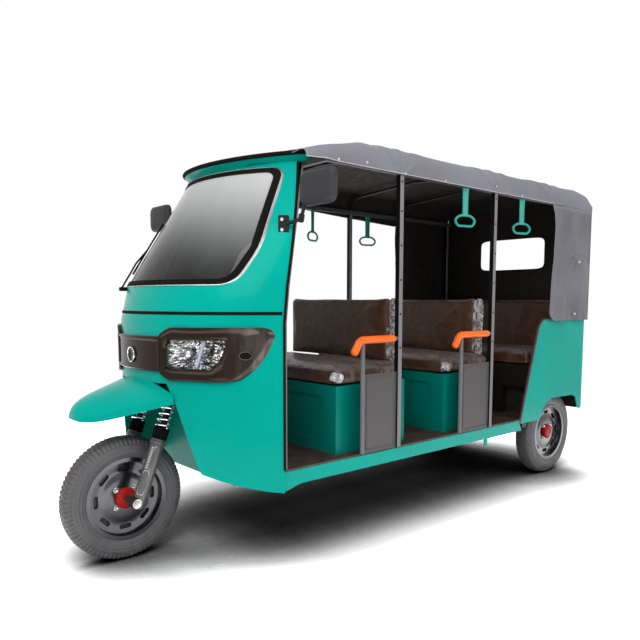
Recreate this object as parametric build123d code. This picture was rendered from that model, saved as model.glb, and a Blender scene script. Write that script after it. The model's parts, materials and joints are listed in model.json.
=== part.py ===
from build123d import *
import math
import os

os.makedirs("parts", exist_ok=True)

# ---------------------------------------------------------------- driving dimensions, mm
# +X is the vehicle's left, +Z is up, and Y runs to the rear from the front axle.
# Everything is shifted once, at export, so that Y = 0 is the middle of the whole length.
WHEELBASE = 2589.0
REAR_HANG = 261.0             # rear axle to the rearmost point
TYRE_R, TYRE_HALF_W, BEAD_R = 257.0, 50.0, 163.0
TRACK_HALF = 425.0            # rear tyre centre from the centre plane
CAB_HALF, CAB_DEPTH = 550.0, 360.0   # the round cab's half width at its rear edge, and its depth there
CAB_NOSE = 70.0               # foremost point of the lower cab
CAB_BELT, CAB_BREAK, CAB_TOP = 985.0, 1130.0, 1665.0
CAB_WALL = 6.0
SILL_TOP, SILL_LOW = 392.0, 334.0
RAIL_Z = 1628.0               # roof rail's underside
TUBE = 24.0                   # square tube of the frame
PILLARS = (1090.0, 1817.0)    # Y of the pillars
POSTS = (859.0, 1559.0)       # Y of the armrest posts
ARM_Z = 902.0                 # armrest tube's centre
GUARD_TOP = 750.0             # guard panel's upper edge
FLOOR_T = 8.0
RAKE = math.radians(20.8)     # steering axis, its top to the rear
STEER_Y = 20.0                # the axis at the wheel centre's height
LEG_X = 112.0                 # fork leg from the centre plane
BENCH_Y = (765.0, 1507.0)     # front faces of the two benches
BACK_Y = (1170.0, 1875.0)     # rear faces of those benches
BENCH_MARGIN = 63.0           # bench end to the body side's outer face
BENCH_TOP, CUSHION_T = 700.0, 80.0
BACK_HALF, BACK_TOP, BACK_T = 390.0, 1097.0, 55.0
BODY_TOP = 968.0              # upper edge of the rear body
SHEET_T = 10.0                # thickness of the rear body's sides
CREST_Z, SHOULDER_Z, SHOULDER_X = 1785.0, 1757.0, 470.0
CLOTH_T = 9.0
BOW_R = 9.0
PLATE_HOLE_R, PLATE_HOLE_X, PLATE_HOLE_Z = 3.25, 90.0, 560.0
SEAT_GAP = 0.3                # between a piece and the soft or curved one it rests on
RUN_GAP = 0.05                # between a shaft and its bore

# ---------------------------------------------------------------- worked out from them
CAB_R = (CAB_HALF ** 2 + CAB_DEPTH ** 2) / (2 * CAB_DEPTH)   # plan radius of the cab
CAB_EDGE = CAB_NOSE + CAB_DEPTH
CAB_TIERS = [(310.0, CAB_NOSE), (CAB_BELT, CAB_NOSE), (CAB_BREAK, CAB_NOSE + 35), (CAB_TOP, CAB_NOSE + 388)]
CAB_REAR = [(CAB_EDGE, 310.0), (CAB_EDGE, CAB_BELT), (CAB_EDGE + 21, CAB_BREAK + 2),
            (CAB_EDGE + 183, CAB_TOP - 10)]
SILL_X = CAB_HALF - 7         # body sides
RAIL_X = CAB_HALF + 7         # roof rail's outer face
RAIL_MID = RAIL_X - TUBE / 2
FLOOR_TOP = SILL_TOP + FLOOR_T
BENCH_HALF = SILL_X - BENCH_MARGIN
REAR_END = WHEELBASE + REAR_HANG
BODY_FRONT = WHEELBASE - 458
BODY_REAR = REAR_END - 12     # rear panel's outer face
BODY_IN = REAR_END - 24       # its inner face
Y_SHIFT = -(REAR_END - TYRE_R) / 2

made = {}


def keep(name, *shapes):
    made[name] = [solid for shape in shapes for solid in shape.solids()]


# ---------------------------------------------------------------- helpers
def face_of(points, radius=0):
    if radius:
        return make_face(FilletPolyline(*points, radius=radius, close=True))
    return make_face(Polyline(*points, close=True))


def prism_x(yz, x0, x1, radius=0):
    face = face_of([(x0, y, z) for y, z in yz], radius)
    return extrude(face, amount=abs(x1 - x0), dir=(math.copysign(1, x1 - x0), 0, 0))


def prism_y(xz, y0, y1, radius=0):
    return extrude(face_of([(x, y0, z) for x, z in xz], radius), amount=y1 - y0, dir=(0, 1, 0))


def prism_z(xy, z0, z1, radius=0):
    return extrude(face_of([(x, y, z0) for x, y in xy], radius), amount=z1 - z0, dir=(0, 0, 1))


def block(x0, x1, y0, y1, z0, z1):
    return Pos((x0 + x1) / 2, (y0 + y1) / 2, (z0 + z1) / 2) * Box(x1 - x0, y1 - y0, z1 - z0)


def both(shape):
    return [shape, mirror(shape, about=Plane.YZ)]


def rod(p, q, r, r_in=0):
    a, b = Vector(*p), Vector(*q)
    plane = Plane(origin=a, z_dir=b - a)
    body = Solid.make_cylinder(r, (b - a).length, plane)
    return body - Solid.make_cylinder(r_in, (b - a).length, plane) if r_in else body


def bar(p, q, w, h):
    """Square bar from p to q, w across and h in the other direction."""
    a, b = Vector(*p), Vector(*q)
    side = Vector(1, 0, 0) if abs((b - a).X) < 0.7 * (b - a).length else Vector(0, 1, 0)
    plane = Plane(origin=a, x_dir=side, z_dir=b - a)
    corner = a - plane.x_dir * (w / 2) - plane.y_dir * (h / 2)
    return Solid.make_box(w, h, (b - a).length, Plane(origin=corner, x_dir=plane.x_dir, z_dir=b - a))


def tube_along(points, r, bend):
    """Round tube along a path of straight runs joined by arcs of radius bend."""
    path = FilletPolyline(*points, radius=bend)
    return sweep(Plane(path ^ 0) * Circle(r), path=path)


def lathe_x(profile, x_mid, y, z):
    """Profile of (x, radius) turned about the X direction."""
    face = face_of([(x, 0, r) for x, r in profile])
    return Pos(x_mid, y, z) * revolve(face, axis=Axis.X, revolution_arc=360)


def nose_y(z):
    for (z0, n0), (z1, n1) in zip(CAB_TIERS, CAB_TIERS[1:]):
        if z <= z1:
            return n0 + (n1 - n0) * (z - z0) / (z1 - z0)
    return CAB_TIERS[-1][1]


def cab_y(x, z, out=0.0):
    """Y of the cab's skin, or of a surface out ahead of it."""
    r = CAB_R + out
    return nose_y(z) + CAB_R - math.sqrt(r * r - x * x)


def cab_solid(out):
    tiers = []
    for (z0, n0), (z1, n1) in zip(CAB_TIERS, CAB_TIERS[1:]):
        low = Pos(0, n0 + CAB_R, z0) * Circle(CAB_R + out)
        high = Pos(0, n1 + CAB_R, z1) * Circle(CAB_R + out)
        tiers.append(loft([low, high], ruled=True))
    body = tiers[0]
    for tier in tiers[1:]:
        body = body + tier
    return body


def steer(t, x=0.0):
    """Point at t along the steering axis, from the wheel centre's level."""
    return (x, STEER_Y + t * math.sin(RAKE), TYRE_R + t * math.cos(RAKE))


# ---------------------------------------------------------------- cab
outer, inner = cab_solid(0), cab_solid(-CAB_WALL)
ahead_yz = [(-200, 200), (CAB_EDGE, 200)] + CAB_REAR + [(CAB_EDGE + 183, CAB_TOP + 35), (-200, CAB_TOP + 35)]
ahead = prism_x(ahead_yz, -CAB_HALF - 150, CAB_HALF + 150)
SHELL_TOP = CAB_TOP - 20      # the shell ends inside the roof cap
under_cap = block(-CAB_HALF - 150, CAB_HALF + 150, -200, 900, 200, SHELL_TOP)
ARCH_HALF = [(205, 742), (245, 660), (340, 390), (CAB_HALF + 12, 306), (CAB_HALF + 12, 200)]
ARCH = ARCH_HALF + [(-x, z) for x, z in ARCH_HALF[::-1]]
SCREEN = [(-425, 1135), (425, 1135), (440, 1280), (385, 1616), (-385, 1616), (-440, 1280)]
GLASS = [(-405, 1155), (405, 1155), (419, 1280), (366, 1597), (-366, 1597), (-419, 1280)]
LENS = [(206, 806), (385, 803), (412, 826), (427, 872), (434, 905), (430, 920), (226, 918), (208, 890)]
BEZEL = [(174, 800), (176, 926), (236, 965), (524, 968), (536, 944), (519, 860), (500, 812), (466, 766),
         (432, 757), (214, 758)]
NOSE_BAND = [(-172, 790), (172, 790), (172, 930), (-172, 930)]
SCREEN_FILLET, GLASS_FILLET, LENS_FILLET, BEZEL_FILLET = 52, 40, 8, 16
PLUG_X, PLUG_Z, PLUG_R = 486.0, 861.0, 14.0   # round recess in the outer end of each bezel
BADGE_Z, BADGE_R, BADGE_RIM = 850.0, 36.0, 7.0

arch = prism_y(ARCH, -300, 640)
screen_hole = prism_y(SCREEN, -100, 640, SCREEN_FILLET)
glass_prism = prism_y(GLASS, -100, 640, GLASS_FILLET)
lens_prism = prism_y(LENS, -100, CAB_EDGE - 10, LENS_FILLET)
lens_pair = both(lens_prism)

shell = ((outer - inner) & ahead & under_cap) - arch - screen_hole - lens_pair[0] - lens_pair[1]
keep("cab_shell", shell)
keep("windscreen_glass", ((cab_solid(3) - cab_solid(-3)) & ahead) & glass_prism)
keep("windscreen_seal", (((cab_solid(7) - cab_solid(-5)) & ahead) & screen_hole) - glass_prism)

patch = cab_solid(14) - outer
plug_mid = Vector(PLUG_X, cab_y(PLUG_X, PLUG_Z), PLUG_Z)
plug_out = (plug_mid - Vector(0, CAB_NOSE + CAB_R, PLUG_Z)).normalized()
plug = rod(plug_mid + plug_out * 6, plug_mid + plug_out * 30, PLUG_R)
bezel = (patch & prism_y(BEZEL, -100, CAB_EDGE - 5, BEZEL_FILLET)) - lens_prism - plug
band = patch & prism_y(NOSE_BAND, -100, 300)
badge_y = cab_y(0, BADGE_Z)
badge = rod((0, badge_y - 30, BADGE_Z), (0, badge_y - 12, BADGE_Z), BADGE_R)
badge = badge - rod((0, badge_y - 40, BADGE_Z), (0, badge_y - 23, BADGE_Z), BADGE_R - BADGE_RIM)
keep("lamp_bezels", *both(bezel), band + (badge & cab_solid(26)))
keep("headlamp_lenses", *both((cab_solid(10) - cab_solid(6)) & lens_prism))
keep("headlamp_units", *both((cab_solid(0) - cab_solid(-46)) & lens_prism & ahead))

# roof cap: a disc that flares upwards from the skin, tilted so that its brow is its lowest side
CAP_NOSE, CAP_BACK, CAP_TILT = CAB_NOSE + 330, 672.0, 5.7
CAP_R, CAP_FLARE, CAP_ROUND = CAB_HALF + 12, 40.0, 16.0
CAP_LOW, CAP_HIGH = CAB_TOP - 55, CAB_TOP - 4
CAP_BEND, CAP_SIDE = 0.293 * CAP_ROUND, CAP_HIGH - CAP_ROUND
cap_profile = Polyline((0, 0, CAP_HIGH), (0, 0, CAP_LOW), (CAP_R - CAP_FLARE, 0, CAP_LOW),
                       (CAP_R, 0, CAP_SIDE))
cap_edge = ThreePointArc((CAP_R, 0, CAP_SIDE), (CAP_R - CAP_BEND, 0, CAP_HIGH - CAP_BEND),
                         (CAP_R - CAP_ROUND, 0, CAP_HIGH))
cap_top = Line((CAP_R - CAP_ROUND, 0, CAP_HIGH), (0, 0, CAP_HIGH))
cap_face = make_face([cap_profile, cap_edge, cap_top])
cap_disc = Pos(0, CAP_R, -CAP_HIGH) * revolve(cap_face, axis=Axis.Z, revolution_arc=360)
cap_disc = Pos(0, CAP_NOSE, CAP_HIGH) * Rot(CAP_TILT, 0, 0) * cap_disc
CAP_BAR = (640.0, 664.0)      # Y of the cross bar that joins the roof rails and carries the cap
cross_bar = block(-RAIL_X, RAIL_X, CAP_BAR[0], CAP_BAR[1], RAIL_Z, RAIL_Z + TUBE)
cap = cap_disc & block(-CAB_HALF - 150, CAB_HALF + 150, -200, CAP_BACK, 1500, 1800)
cap_hollow = block(130 - CAB_HALF, CAB_HALF - 130, CAB_NOSE + 410, CAP_BACK + 8, 1600, 1640)
cap = cap - (outer & under_cap) - cross_bar - cap_hollow
keep("roof_cap", cap)

# front fender: a beak that stands out of the cab over the wheel
FENDER = [  # y, half width, lower edge, top of the side, crown
    (112.0, 245.0, 662.0, 690.0, 768.0),
    (0.0, 205.0, 640.0, 668.0, 735.0),
    (-110.0, 140.0, 612.0, 640.0, 700.0),
    (-178.0, 78.0, 602.0, 618.0, 664.0),
    (-200.0, 30.0, 606.0, 612.0, 632.0),
]
FENDER_T = 5.0


def fender_face(row, wall):
    y, w, low, side, top = row
    w, side, top = w - wall, side - wall * 0.4, top - wall
    low = low - (12 if wall else 0)
    sides = Polyline((w, y, side), (w, y, low), (-w, y, low), (-w, y, side))
    return make_face([sides, ThreePointArc((-w, y, side), (0, y, top), (w, y, side))])


inner_rows = [(FENDER[0][0] + 18,) + FENDER[0][1:]] + FENDER[1:-1] + [(FENDER[-1][0] + 6,) + FENDER[-1][1:]]
fender_out = loft([fender_face(row, 0) for row in FENDER])
fender_in = loft([fender_face(row, FENDER_T) for row in inner_rows])
keep("front_fender", fender_out - fender_in - outer)

# wheel well behind the steered wheel
WELL_BACK, WELL_T = 334.0, 4.0
WELL = [(-338, 312), (338, 312), (338, 390), (243, 658), (243, 784), (-243, 784), (-243, 658), (-338, 390)]
WELL_IN = [(-334, 300), (334, 300), (334, 390), (239, 657), (239, 780), (-239, 780), (-239, 657), (-334, 390)]
well = prism_y(WELL, 40, WELL_BACK) - prism_y(WELL_IN, 30, WELL_BACK - WELL_T)
well = well & cab_solid(-CAB_WALL - 0.5)
foot = [(0, 200), (0, SILL_TOP), (170, SILL_TOP), (WELL_BACK - 0.1, SILL_LOW + 2), (WELL_BACK - 0.1, 200)]
well = well - prism_x(foot, -600, 600)
well = well - rod(steer(500), steer(640), 45)
keep("wheel_well", well)

# dashboard: a shelf inside the cab's skin, open in the middle for the steering stem
dash = (cab_solid(-CAB_WALL - 0.2) - cab_solid(-150)) & block(-420, 420, 0, 330, 960, 1075)
keep("dashboard", dash - block(-90, 90, 190, 400, 900, 1040))

# wiper: a pivot in the shell, an arm, a link and a blade
WIPER_X, WIPER_Z = -235.0, 1122.0
wiper_elbow = (-262, cab_y(-262, 1240, 26), 1240)
arm = rod((WIPER_X, cab_y(WIPER_X, WIPER_Z, 26), WIPER_Z), wiper_elbow, 4)
blade = rod((-285, cab_y(-285, 1190, 12), 1190), (-210, cab_y(-210, 1420, 12), 1420), 5)
link = rod(wiper_elbow, (-250, cab_y(-250, 1300, 12), 1300), 4)
pivot_y = cab_y(WIPER_X, WIPER_Z, 1)
pivot = rod((WIPER_X, pivot_y, WIPER_Z), (WIPER_X, pivot_y - 34, WIPER_Z), 9) - outer
keep("wiper", pivot + ((arm + link + blade) - cab_solid(7 + SEAT_GAP)))

# ---------------------------------------------------------------- mirrors
ARM_R = 7.0
ARM_PATH = [(472, 470, 1378), (545, 470, 1378), (600, 515, 1382), (610, 520, 1440)]
HEAD = [(535, 1436), (735, 1436), (735, 1568), (535, 1568)]
HEAD_IN = [(541, 1442), (729, 1442), (729, 1562), (541, 1562)]
HEAD_Y0, HEAD_Y1, HEAD_ROUND = 505.0, 540.0, 30
plate = bar((480, 462, 1330), (452, 478, 1430), 34, 10) - outer
head_solid = prism_y(HEAD, HEAD_Y0, HEAD_Y1, HEAD_ROUND)
arms = (plate + tube_along(ARM_PATH, ARM_R, 20)) - outer - head_solid
keep("mirror_arms", *both(arms))
keep("mirror_heads", *both(head_solid - prism_y(HEAD_IN, HEAD_Y1 - 3, HEAD_Y1 + 1, HEAD_ROUND - 5)))
keep("mirror_glasses", *both(prism_y(HEAD_IN, HEAD_Y1 - 3, HEAD_Y1 - 1, HEAD_ROUND - 5)))

# ---------------------------------------------------------------- chassis, floor, sills
BEAM_X, BEAM_W = 290.0, 40.0
CROSS_Y = (480.0,) + PILLARS + (WHEELBASE - 389,)
beam = block(BEAM_X - BEAM_W / 2, BEAM_X + BEAM_W / 2, CAB_EDGE - 10, REAR_END - 50, 340, 390)
beams = both(beam)
frame = beams[0] + beams[1]
for y in CROSS_Y:
    frame = frame + block(-SILL_X + 15, SILL_X - 15, y - 20, y + 20, 345, 385)
frame = frame + block(-BEAM_X - 30, BEAM_X + 30, REAR_END - 70, REAR_END - 30, 345, 385)
neck = bar((0, 455, 380), (0, 425, 600), 44, 50) + bar((0, 426, 580), (0, 405, 900), 44, 44)
neck = neck + bar((0, 425, 885), (0, 272, 900), 40, 40)
STEM_R = 16.0
frame = frame + neck + rod(steer(592), steer(760), 28)
keep("chassis_frame", frame - rod(steer(560), steer(800), STEM_R + RUN_GAP))

HOUSE_IN, HOUSE_TOP = 336.0, 564.0   # inner wall and top of the rear wheel houses
REAR_STEP = WHEELBASE - 289   # where the floor narrows between them
FLOOR_X = SILL_X - 3
half_floor = [(330, WELL_BACK + 2), (FLOOR_X, CAB_EDGE + 10), (FLOOR_X, REAR_STEP), (HOUSE_IN - 2, REAR_STEP),
              (HOUSE_IN - 2, REAR_END - 30)]
floor_xy = half_floor + [(-x, y) for x, y in half_floor[::-1]]
floor = prism_z(floor_xy, SILL_TOP, FLOOR_TOP)
floor_reach = cab_solid(-CAB_WALL - 1) + block(-SILL_X, SILL_X, CAB_EDGE + 1, BODY_FRONT - 2, 300, 500)
between_sides = SILL_X - SHEET_T - 0.2
floor_reach = floor_reach + block(-between_sides, between_sides, BODY_FRONT - 31, BODY_IN - 0.2, 300, 500)
keep("floor_pan", (floor & floor_reach) - neck)

sill_yz = [(CAB_EDGE + 1, 312), (520, SILL_LOW), (BODY_FRONT + 19, SILL_LOW), (BODY_FRONT - 2, 374),
           (BODY_FRONT, SILL_TOP - 0.1), (CAB_EDGE + 1, SILL_TOP - 0.1)]
keep("side_sills", *both(prism_x(sill_yz, SILL_X - 14, SILL_X)))

# ---------------------------------------------------------------- roof frame and pillars
CAB_TUBE = [(CAB_HALF - 20, CAB_EDGE + 17, FLOOR_TOP), (CAB_HALF - 20, CAB_EDGE + 17, CAB_BELT),
            (CAB_HALF - 27, CAB_EDGE + 38, CAB_BREAK + 2), (CAB_HALF - 155, CAP_BAR[0] + 5, RAIL_Z + 10)]
RAIL_FRONT = CAP_BAR[0]
rail_low, rail_high = RAIL_Z, RAIL_Z + TUBE
half_tube = TUBE / 2


def bow(y):
    """Roof bow: a round tube over the crest, its feet on the two rails."""
    crown = CREST_Z - CLOTH_T - BOW_R - 8
    half = [(RAIL_MID, y, rail_high - 2), (SHOULDER_X + 10, y, SHOULDER_Z - 30), (0, y, crown)]
    return tube_along(half + [(-x, y, z) for x, _, z in half[1::-1]], BOW_R, 60)


roof = cross_bar
for s in (-1, 1):
    x = s * RAIL_MID
    roof = roof + block(x - half_tube, x + half_tube, RAIL_FRONT, BODY_IN, rail_low, rail_high)
    lug_x = sorted((x, x - s * 45))
    roof = roof + block(lug_x[0], lug_x[1], REAR_END - 50, REAR_END - 30, rail_low, rail_high)
for y in PILLARS + (WHEELBASE - 289,):
    roof = roof + bow(y)
keep("tube_frame", roof)

cab_posts = both(tube_along(CAB_TUBE, 9, 60) - (outer & ahead) - cap - roof)
posts = []
for y in PILLARS:
    posts += both(block(RAIL_MID - half_tube, RAIL_X, y - half_tube, y + half_tube, FLOOR_TOP, rail_low))
corners = both(block(between_sides - 6.8, between_sides, REAR_END - 50, REAR_END - 30, HOUSE_TOP, rail_low))
keep("pillars", *cab_posts, *posts, *corners)

# ---------------------------------------------------------------- armrests
GUARD_R, GRIP_R, GUARD_T = 10.0, 17.0, 6.0
rails, grips, sheets = [], [], []
for y_post, y_pillar in zip(POSTS, PILLARS):
    y_end = y_pillar - half_tube
    post = rod((RAIL_MID, y_post + 4, FLOOR_TOP), (RAIL_MID, y_post + 4, ARM_Z - 4), GUARD_R)
    rail = post + rod((RAIL_MID, y_post - 10, ARM_Z), (RAIL_MID, y_end, ARM_Z), GUARD_R)
    nose = (RAIL_MID, y_post - 44, ARM_Z - 50)
    grip = tube_along([nose, (RAIL_MID, y_post - 12, ARM_Z), (RAIL_MID, y_end - 22, ARM_Z)], GRIP_R, 40)
    grip = grip + Pos(*nose) * Sphere(GRIP_R)
    rails += both(rail)
    grips += both(grip - rail)
    sheet_x, sheet_y = RAIL_MID - GUARD_T / 2, y_post + 4 + GUARD_R + 0.2
    sheets += both(block(sheet_x, sheet_x + GUARD_T, sheet_y, y_end, FLOOR_TOP, GUARD_TOP))
keep("guard_rails", *rails)
keep("armrest_grips", *grips)
keep("guard_panels", *sheets)

# ---------------------------------------------------------------- benches
CUSHION_LIP, CUSHION_ROUND, BACK_ROUND, RECESS = 8.0, 22, 18, 8.0
RECESS_XZ = [(-BENCH_HALF + 80, 450), (BENCH_HALF - 80, 450), (BENCH_HALF - 80, 650), (-BENCH_HALF + 80, 650)]
REAR_BENCH_Y, REAR_BACK_Y, REAR_BENCH_END = WHEELBASE - 327, WHEELBASE + 143, REAR_END - 54
REAR_HALF = SILL_X - SHEET_T - 11


def pad(y0, y1, z0, z1, half, radius):
    return prism_x([(y0, z0), (y1, z0), (y1, z1), (y0, z1)], -half, half, radius)


bases, cushions, backs = [], [], []
for y0, yb in zip(BENCH_Y, BACK_Y):
    base = block(-BENCH_HALF, BENCH_HALF, y0, yb + 40, FLOOR_TOP, BENCH_TOP)
    bases.append(base - prism_y(RECESS_XZ, y0, y0 + RECESS, 30))
    y_end = yb + 22 - SEAT_GAP
    cushions.append(pad(y0 - CUSHION_LIP, y_end, BENCH_TOP, BENCH_TOP + CUSHION_T, BENCH_HALF, CUSHION_ROUND))
    backs.append(pad(yb + 22, yb + 22 + BACK_T, BENCH_TOP + 40, BACK_TOP, BACK_HALF, BACK_ROUND))
rear_foot = block(-HOUSE_IN + 6, HOUSE_IN - 6, REAR_BENCH_Y, REAR_BENCH_END, FLOOR_TOP, HOUSE_TOP + 2)
rear_base = rear_foot + block(-REAR_HALF, REAR_HALF, REAR_BENCH_Y, REAR_BENCH_END, HOUSE_TOP + 2, BENCH_TOP)
bases.append(rear_base)
cushions.append(pad(REAR_BENCH_Y - CUSHION_LIP, REAR_BACK_Y - SEAT_GAP, BENCH_TOP, BENCH_TOP + CUSHION_T,
                    REAR_HALF - 12, CUSHION_ROUND))
backs.append(pad(REAR_BACK_Y, REAR_BENCH_END, BENCH_TOP + SEAT_GAP, BACK_TOP, REAR_HALF - 22, BACK_ROUND))
keep("bench_bases", *bases)
keep("seat_cushions", *cushions)
keep("seat_backs", *backs)

# ---------------------------------------------------------------- rear body
ARCH_Y0, ARCH_Y1 = WHEELBASE - 254, WHEELBASE + 223   # the wheel arch's two feet
SIDE = [(BODY_FRONT, 374), (WHEELBASE - 289, 925), (WHEELBASE - 244, BODY_TOP), (BODY_REAR, BODY_TOP),
        (BODY_REAR, SILL_TOP), (ARCH_Y1, SILL_TOP), (ARCH_Y1 - 20, 402), (WHEELBASE + 175, 470),
        (WHEELBASE + 131, 486), (WHEELBASE - 115, 490), (WHEELBASE - 189, 462), (ARCH_Y0, 374)]
sides = both(prism_x(SIDE, SILL_X - SHEET_T, SILL_X, 9))
panel = block(-SILL_X + SHEET_T, SILL_X - SHEET_T, BODY_IN, BODY_REAR, SILL_TOP, BODY_TOP)
for x in (-PLATE_HOLE_X, PLATE_HOLE_X):
    panel = panel - rod((x, BODY_IN - 20, PLATE_HOLE_Z), (x, REAR_END + 10, PLATE_HOLE_Z), PLATE_HOLE_R)
keep("rear_body", sides[0] + sides[1] + panel)
HOUSE_OUT = SILL_X - SHEET_T - 0.1
house = block(HOUSE_IN, HOUSE_OUT, WHEELBASE - 283, BODY_IN - 0.1, 402, HOUSE_TOP)
house = house - block(HOUSE_IN + 4, HOUSE_OUT + 7, WHEELBASE - 279, BODY_IN - 4, 300, HOUSE_TOP - 4)
keep("wheel_houses", *both(house))
TAIL_LAMP = [(430, 640), (515, 640), (515, 860), (430, 860)]
keep("tail_lamps", *both(prism_y(TAIL_LAMP, BODY_REAR, REAR_END, 20)))

# ---------------------------------------------------------------- canopy
CANOPY_X = RAIL_X + 3
STATIONS = [  # y, crest's drop, foot's lift
    (RAIL_FRONT, 66.0, 4.0),
    (700.0, 48.0, 0.0),
    (880.0, 4.0, 0.0),
    (REAR_END - 150, 0.0, 0.0),
    (REAR_END - 50, 22.0, 0.0),
    (REAR_END, 84.0, 0.0),
]


def canopy_line(y, drop, lift, inset):
    """Half hoop of the canopy: two upright hems, two round shoulders and a shallow crown."""
    x, s = CANOPY_X - inset, SHOULDER_X - inset * 0.4
    foot, hem = RAIL_Z + 2 + lift, RAIL_Z + 48 - drop * 0.35
    side, top = SHOULDER_Z - drop - inset, CREST_Z - drop - inset
    mid = ((x + s) / 2 + 18, (hem + side) / 2 + 16 - inset * 0.3)
    return [
        Line((x, y, foot), (x, y, hem)),
        ThreePointArc((x, y, hem), (mid[0], y, mid[1]), (s, y, side)),
        ThreePointArc((s, y, side), (0, y, top), (-s, y, side)),
        ThreePointArc((-s, y, side), (-mid[0], y, mid[1]), (-x, y, hem)),
        Line((-x, y, hem), (-x, y, foot)),
    ]


def canopy_face(y, drop, lift):
    out, inn = canopy_line(y, drop, lift, 0), canopy_line(y, drop, lift, CLOTH_T)
    feet = [Line(out[0] @ 0, inn[0] @ 0), Line(out[-1] @ 1, inn[-1] @ 1)]
    return make_face(out + inn + feet)


canopy = None
for a, b in zip(STATIONS, STATIONS[1:]):
    stretch = loft([canopy_face(*a), canopy_face(*b)], ruled=True)
    canopy = stretch if canopy is None else canopy + stretch
canopy = canopy - cap - roof
keep("canopy_roof", canopy)

CURTAIN_X, WINDOW_X, WINDOW_LOW, WINDOW_HIGH = SILL_X + 5, 248.0, 1289.0, 1495.0
CURTAIN = [(-CURTAIN_X, BODY_TOP + 2), (CURTAIN_X, BODY_TOP + 2), (CURTAIN_X, 1640), (SHOULDER_X, 1668),
           (-SHOULDER_X, 1668), (-CURTAIN_X, 1640)]
WINDOW = [(-WINDOW_X, WINDOW_LOW), (WINDOW_X, WINDOW_LOW), (WINDOW_X, WINDOW_HIGH), (-WINDOW_X, WINDOW_HIGH)]
curtain = prism_y(CURTAIN, BODY_REAR + 2, REAR_END - 2) - prism_y(WINDOW, BODY_REAR - 8, REAR_END + 10, 22)
keep("rear_curtain", curtain - canopy)
FLAP_FRONT = (WHEELBASE - 201, WHEELBASE - 304)   # the left flap is drawn further back than the right one


def flap(y_front):
    """Side flap with a cut front corner, on the +X side."""
    yz = [(y_front, RAIL_Z - SEAT_GAP), (y_front - 8, 1010), (y_front + 42, BODY_TOP + 2),
          (BODY_REAR + 1, BODY_TOP + 2), (BODY_REAR + 1, RAIL_Z - SEAT_GAP)]
    return prism_x(yz, SILL_X + 6, RAIL_X)


keep("side_flaps", flap(FLAP_FRONT[0]), mirror(flap(FLAP_FRONT[1]), about=Plane.YZ))

# grab handles that hang from the rails
HANDLE_LEFT, HANDLE_RIGHT = (1570.0, 2080.0), (1502.0, 1980.0)
STRAP_W, RING_HALF, RING_LOW, RING_HIGH, RING_W = 34.0, 66.0, 1436.0, 1500.0, 12.0


def handle(y):
    """Ring on a flat strap, hanging from the +X rail."""
    strap = block(RAIL_MID - 2.5, RAIL_MID + 2.5, y - STRAP_W / 2, y + STRAP_W / 2, RING_HIGH - 4, RAIL_Z)
    ring = pad(y - RING_HALF, y + RING_HALF, RING_LOW, RING_HIGH, 6, 26)
    half = RING_HALF - RING_W
    ring = ring - pad(y - half, y + half, RING_LOW + RING_W, RING_HIGH - RING_W, 7, 17)
    return strap + Pos(RAIL_MID, 0, 0) * ring


left = [handle(y) for y in HANDLE_LEFT]
right = [mirror(handle(y), about=Plane.YZ) for y in HANDLE_RIGHT]
keep("grab_handles", *left, *right)

# ---------------------------------------------------------------- rear axle, motor and springs
AXLE_R, DRUM_R, DRUM_X, STUB_R = 27.0, 98.0, (350.0, 385.0), 15.0
axle_profile = [(-DRUM_X[0], 0), (-DRUM_X[0], AXLE_R), (-95, AXLE_R), (-60, 88), (60, 88), (95, AXLE_R),
                (DRUM_X[0], AXLE_R), (DRUM_X[0], 0)]
axle = lathe_x(axle_profile, 0, WHEELBASE, TYRE_R)
axle = axle + rod((0, WHEELBASE - 60, TYRE_R), (0, WHEELBASE - 250, TYRE_R), 72)
for s in (1, -1):
    drum = [(s * (DRUM_X[0] - 1), 0), (s * (DRUM_X[0] - 1), DRUM_R - 20), (s * (DRUM_X[0] + 12), DRUM_R),
            (s * DRUM_X[1], DRUM_R), (s * DRUM_X[1], 0)]
    axle = axle + lathe_x(drum, 0, WHEELBASE, TYRE_R)
    axle = axle + rod((s * 380, WHEELBASE, TYRE_R), (s * (TRACK_HALF + 43), WHEELBASE, TYRE_R), STUB_R)
keep("rear_axle", axle)

LEAF_T, LEAF_HALF, LEAF_RISE, LEAF_W = 7.0, (300.0, 225.0, 150.0), 28.0, 36.0
LEAF_Z = TYRE_R + AXLE_R      # underside of the pack, on the axle


def leaf_blade(half, low):
    """One leaf, bent up towards its two ends."""
    rise = LEAF_RISE * (half / LEAF_HALF[0]) ** 2
    x = BEAM_X - LEAF_W / 2
    ends = [(x, WHEELBASE - half, low + rise), (x, WHEELBASE, low), (x, WHEELBASE + half, low + rise)]
    over = [(a, b, c + LEAF_T) for a, b, c in ends]
    edge = [ThreePointArc(*ends), Line(ends[2], over[2]), ThreePointArc(*over), Line(over[0], ends[0])]
    return extrude(make_face(edge), amount=LEAF_W, dir=(1, 0, 0))


leaf = None
for i, half in enumerate(LEAF_HALF):
    leaf_one = leaf_blade(half, LEAF_Z + LEAF_T * (2 - i))
    leaf = leaf_one if leaf is None else leaf + leaf_one
for y in (WHEELBASE - 290, WHEELBASE + 232):
    leaf = leaf + block(BEAM_X - 16, BEAM_X + 16, y, y + 14, 318, 340)
leaf = leaf + block(BEAM_X - 28, BEAM_X + 28, WHEELBASE - 34, WHEELBASE + 34, LEAF_Z + 21, LEAF_Z + 31)
leaf = leaf & block(200, 400, 2000, BODY_IN, 200, 340)
keep("leaf_springs", *both(leaf - axle))

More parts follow.
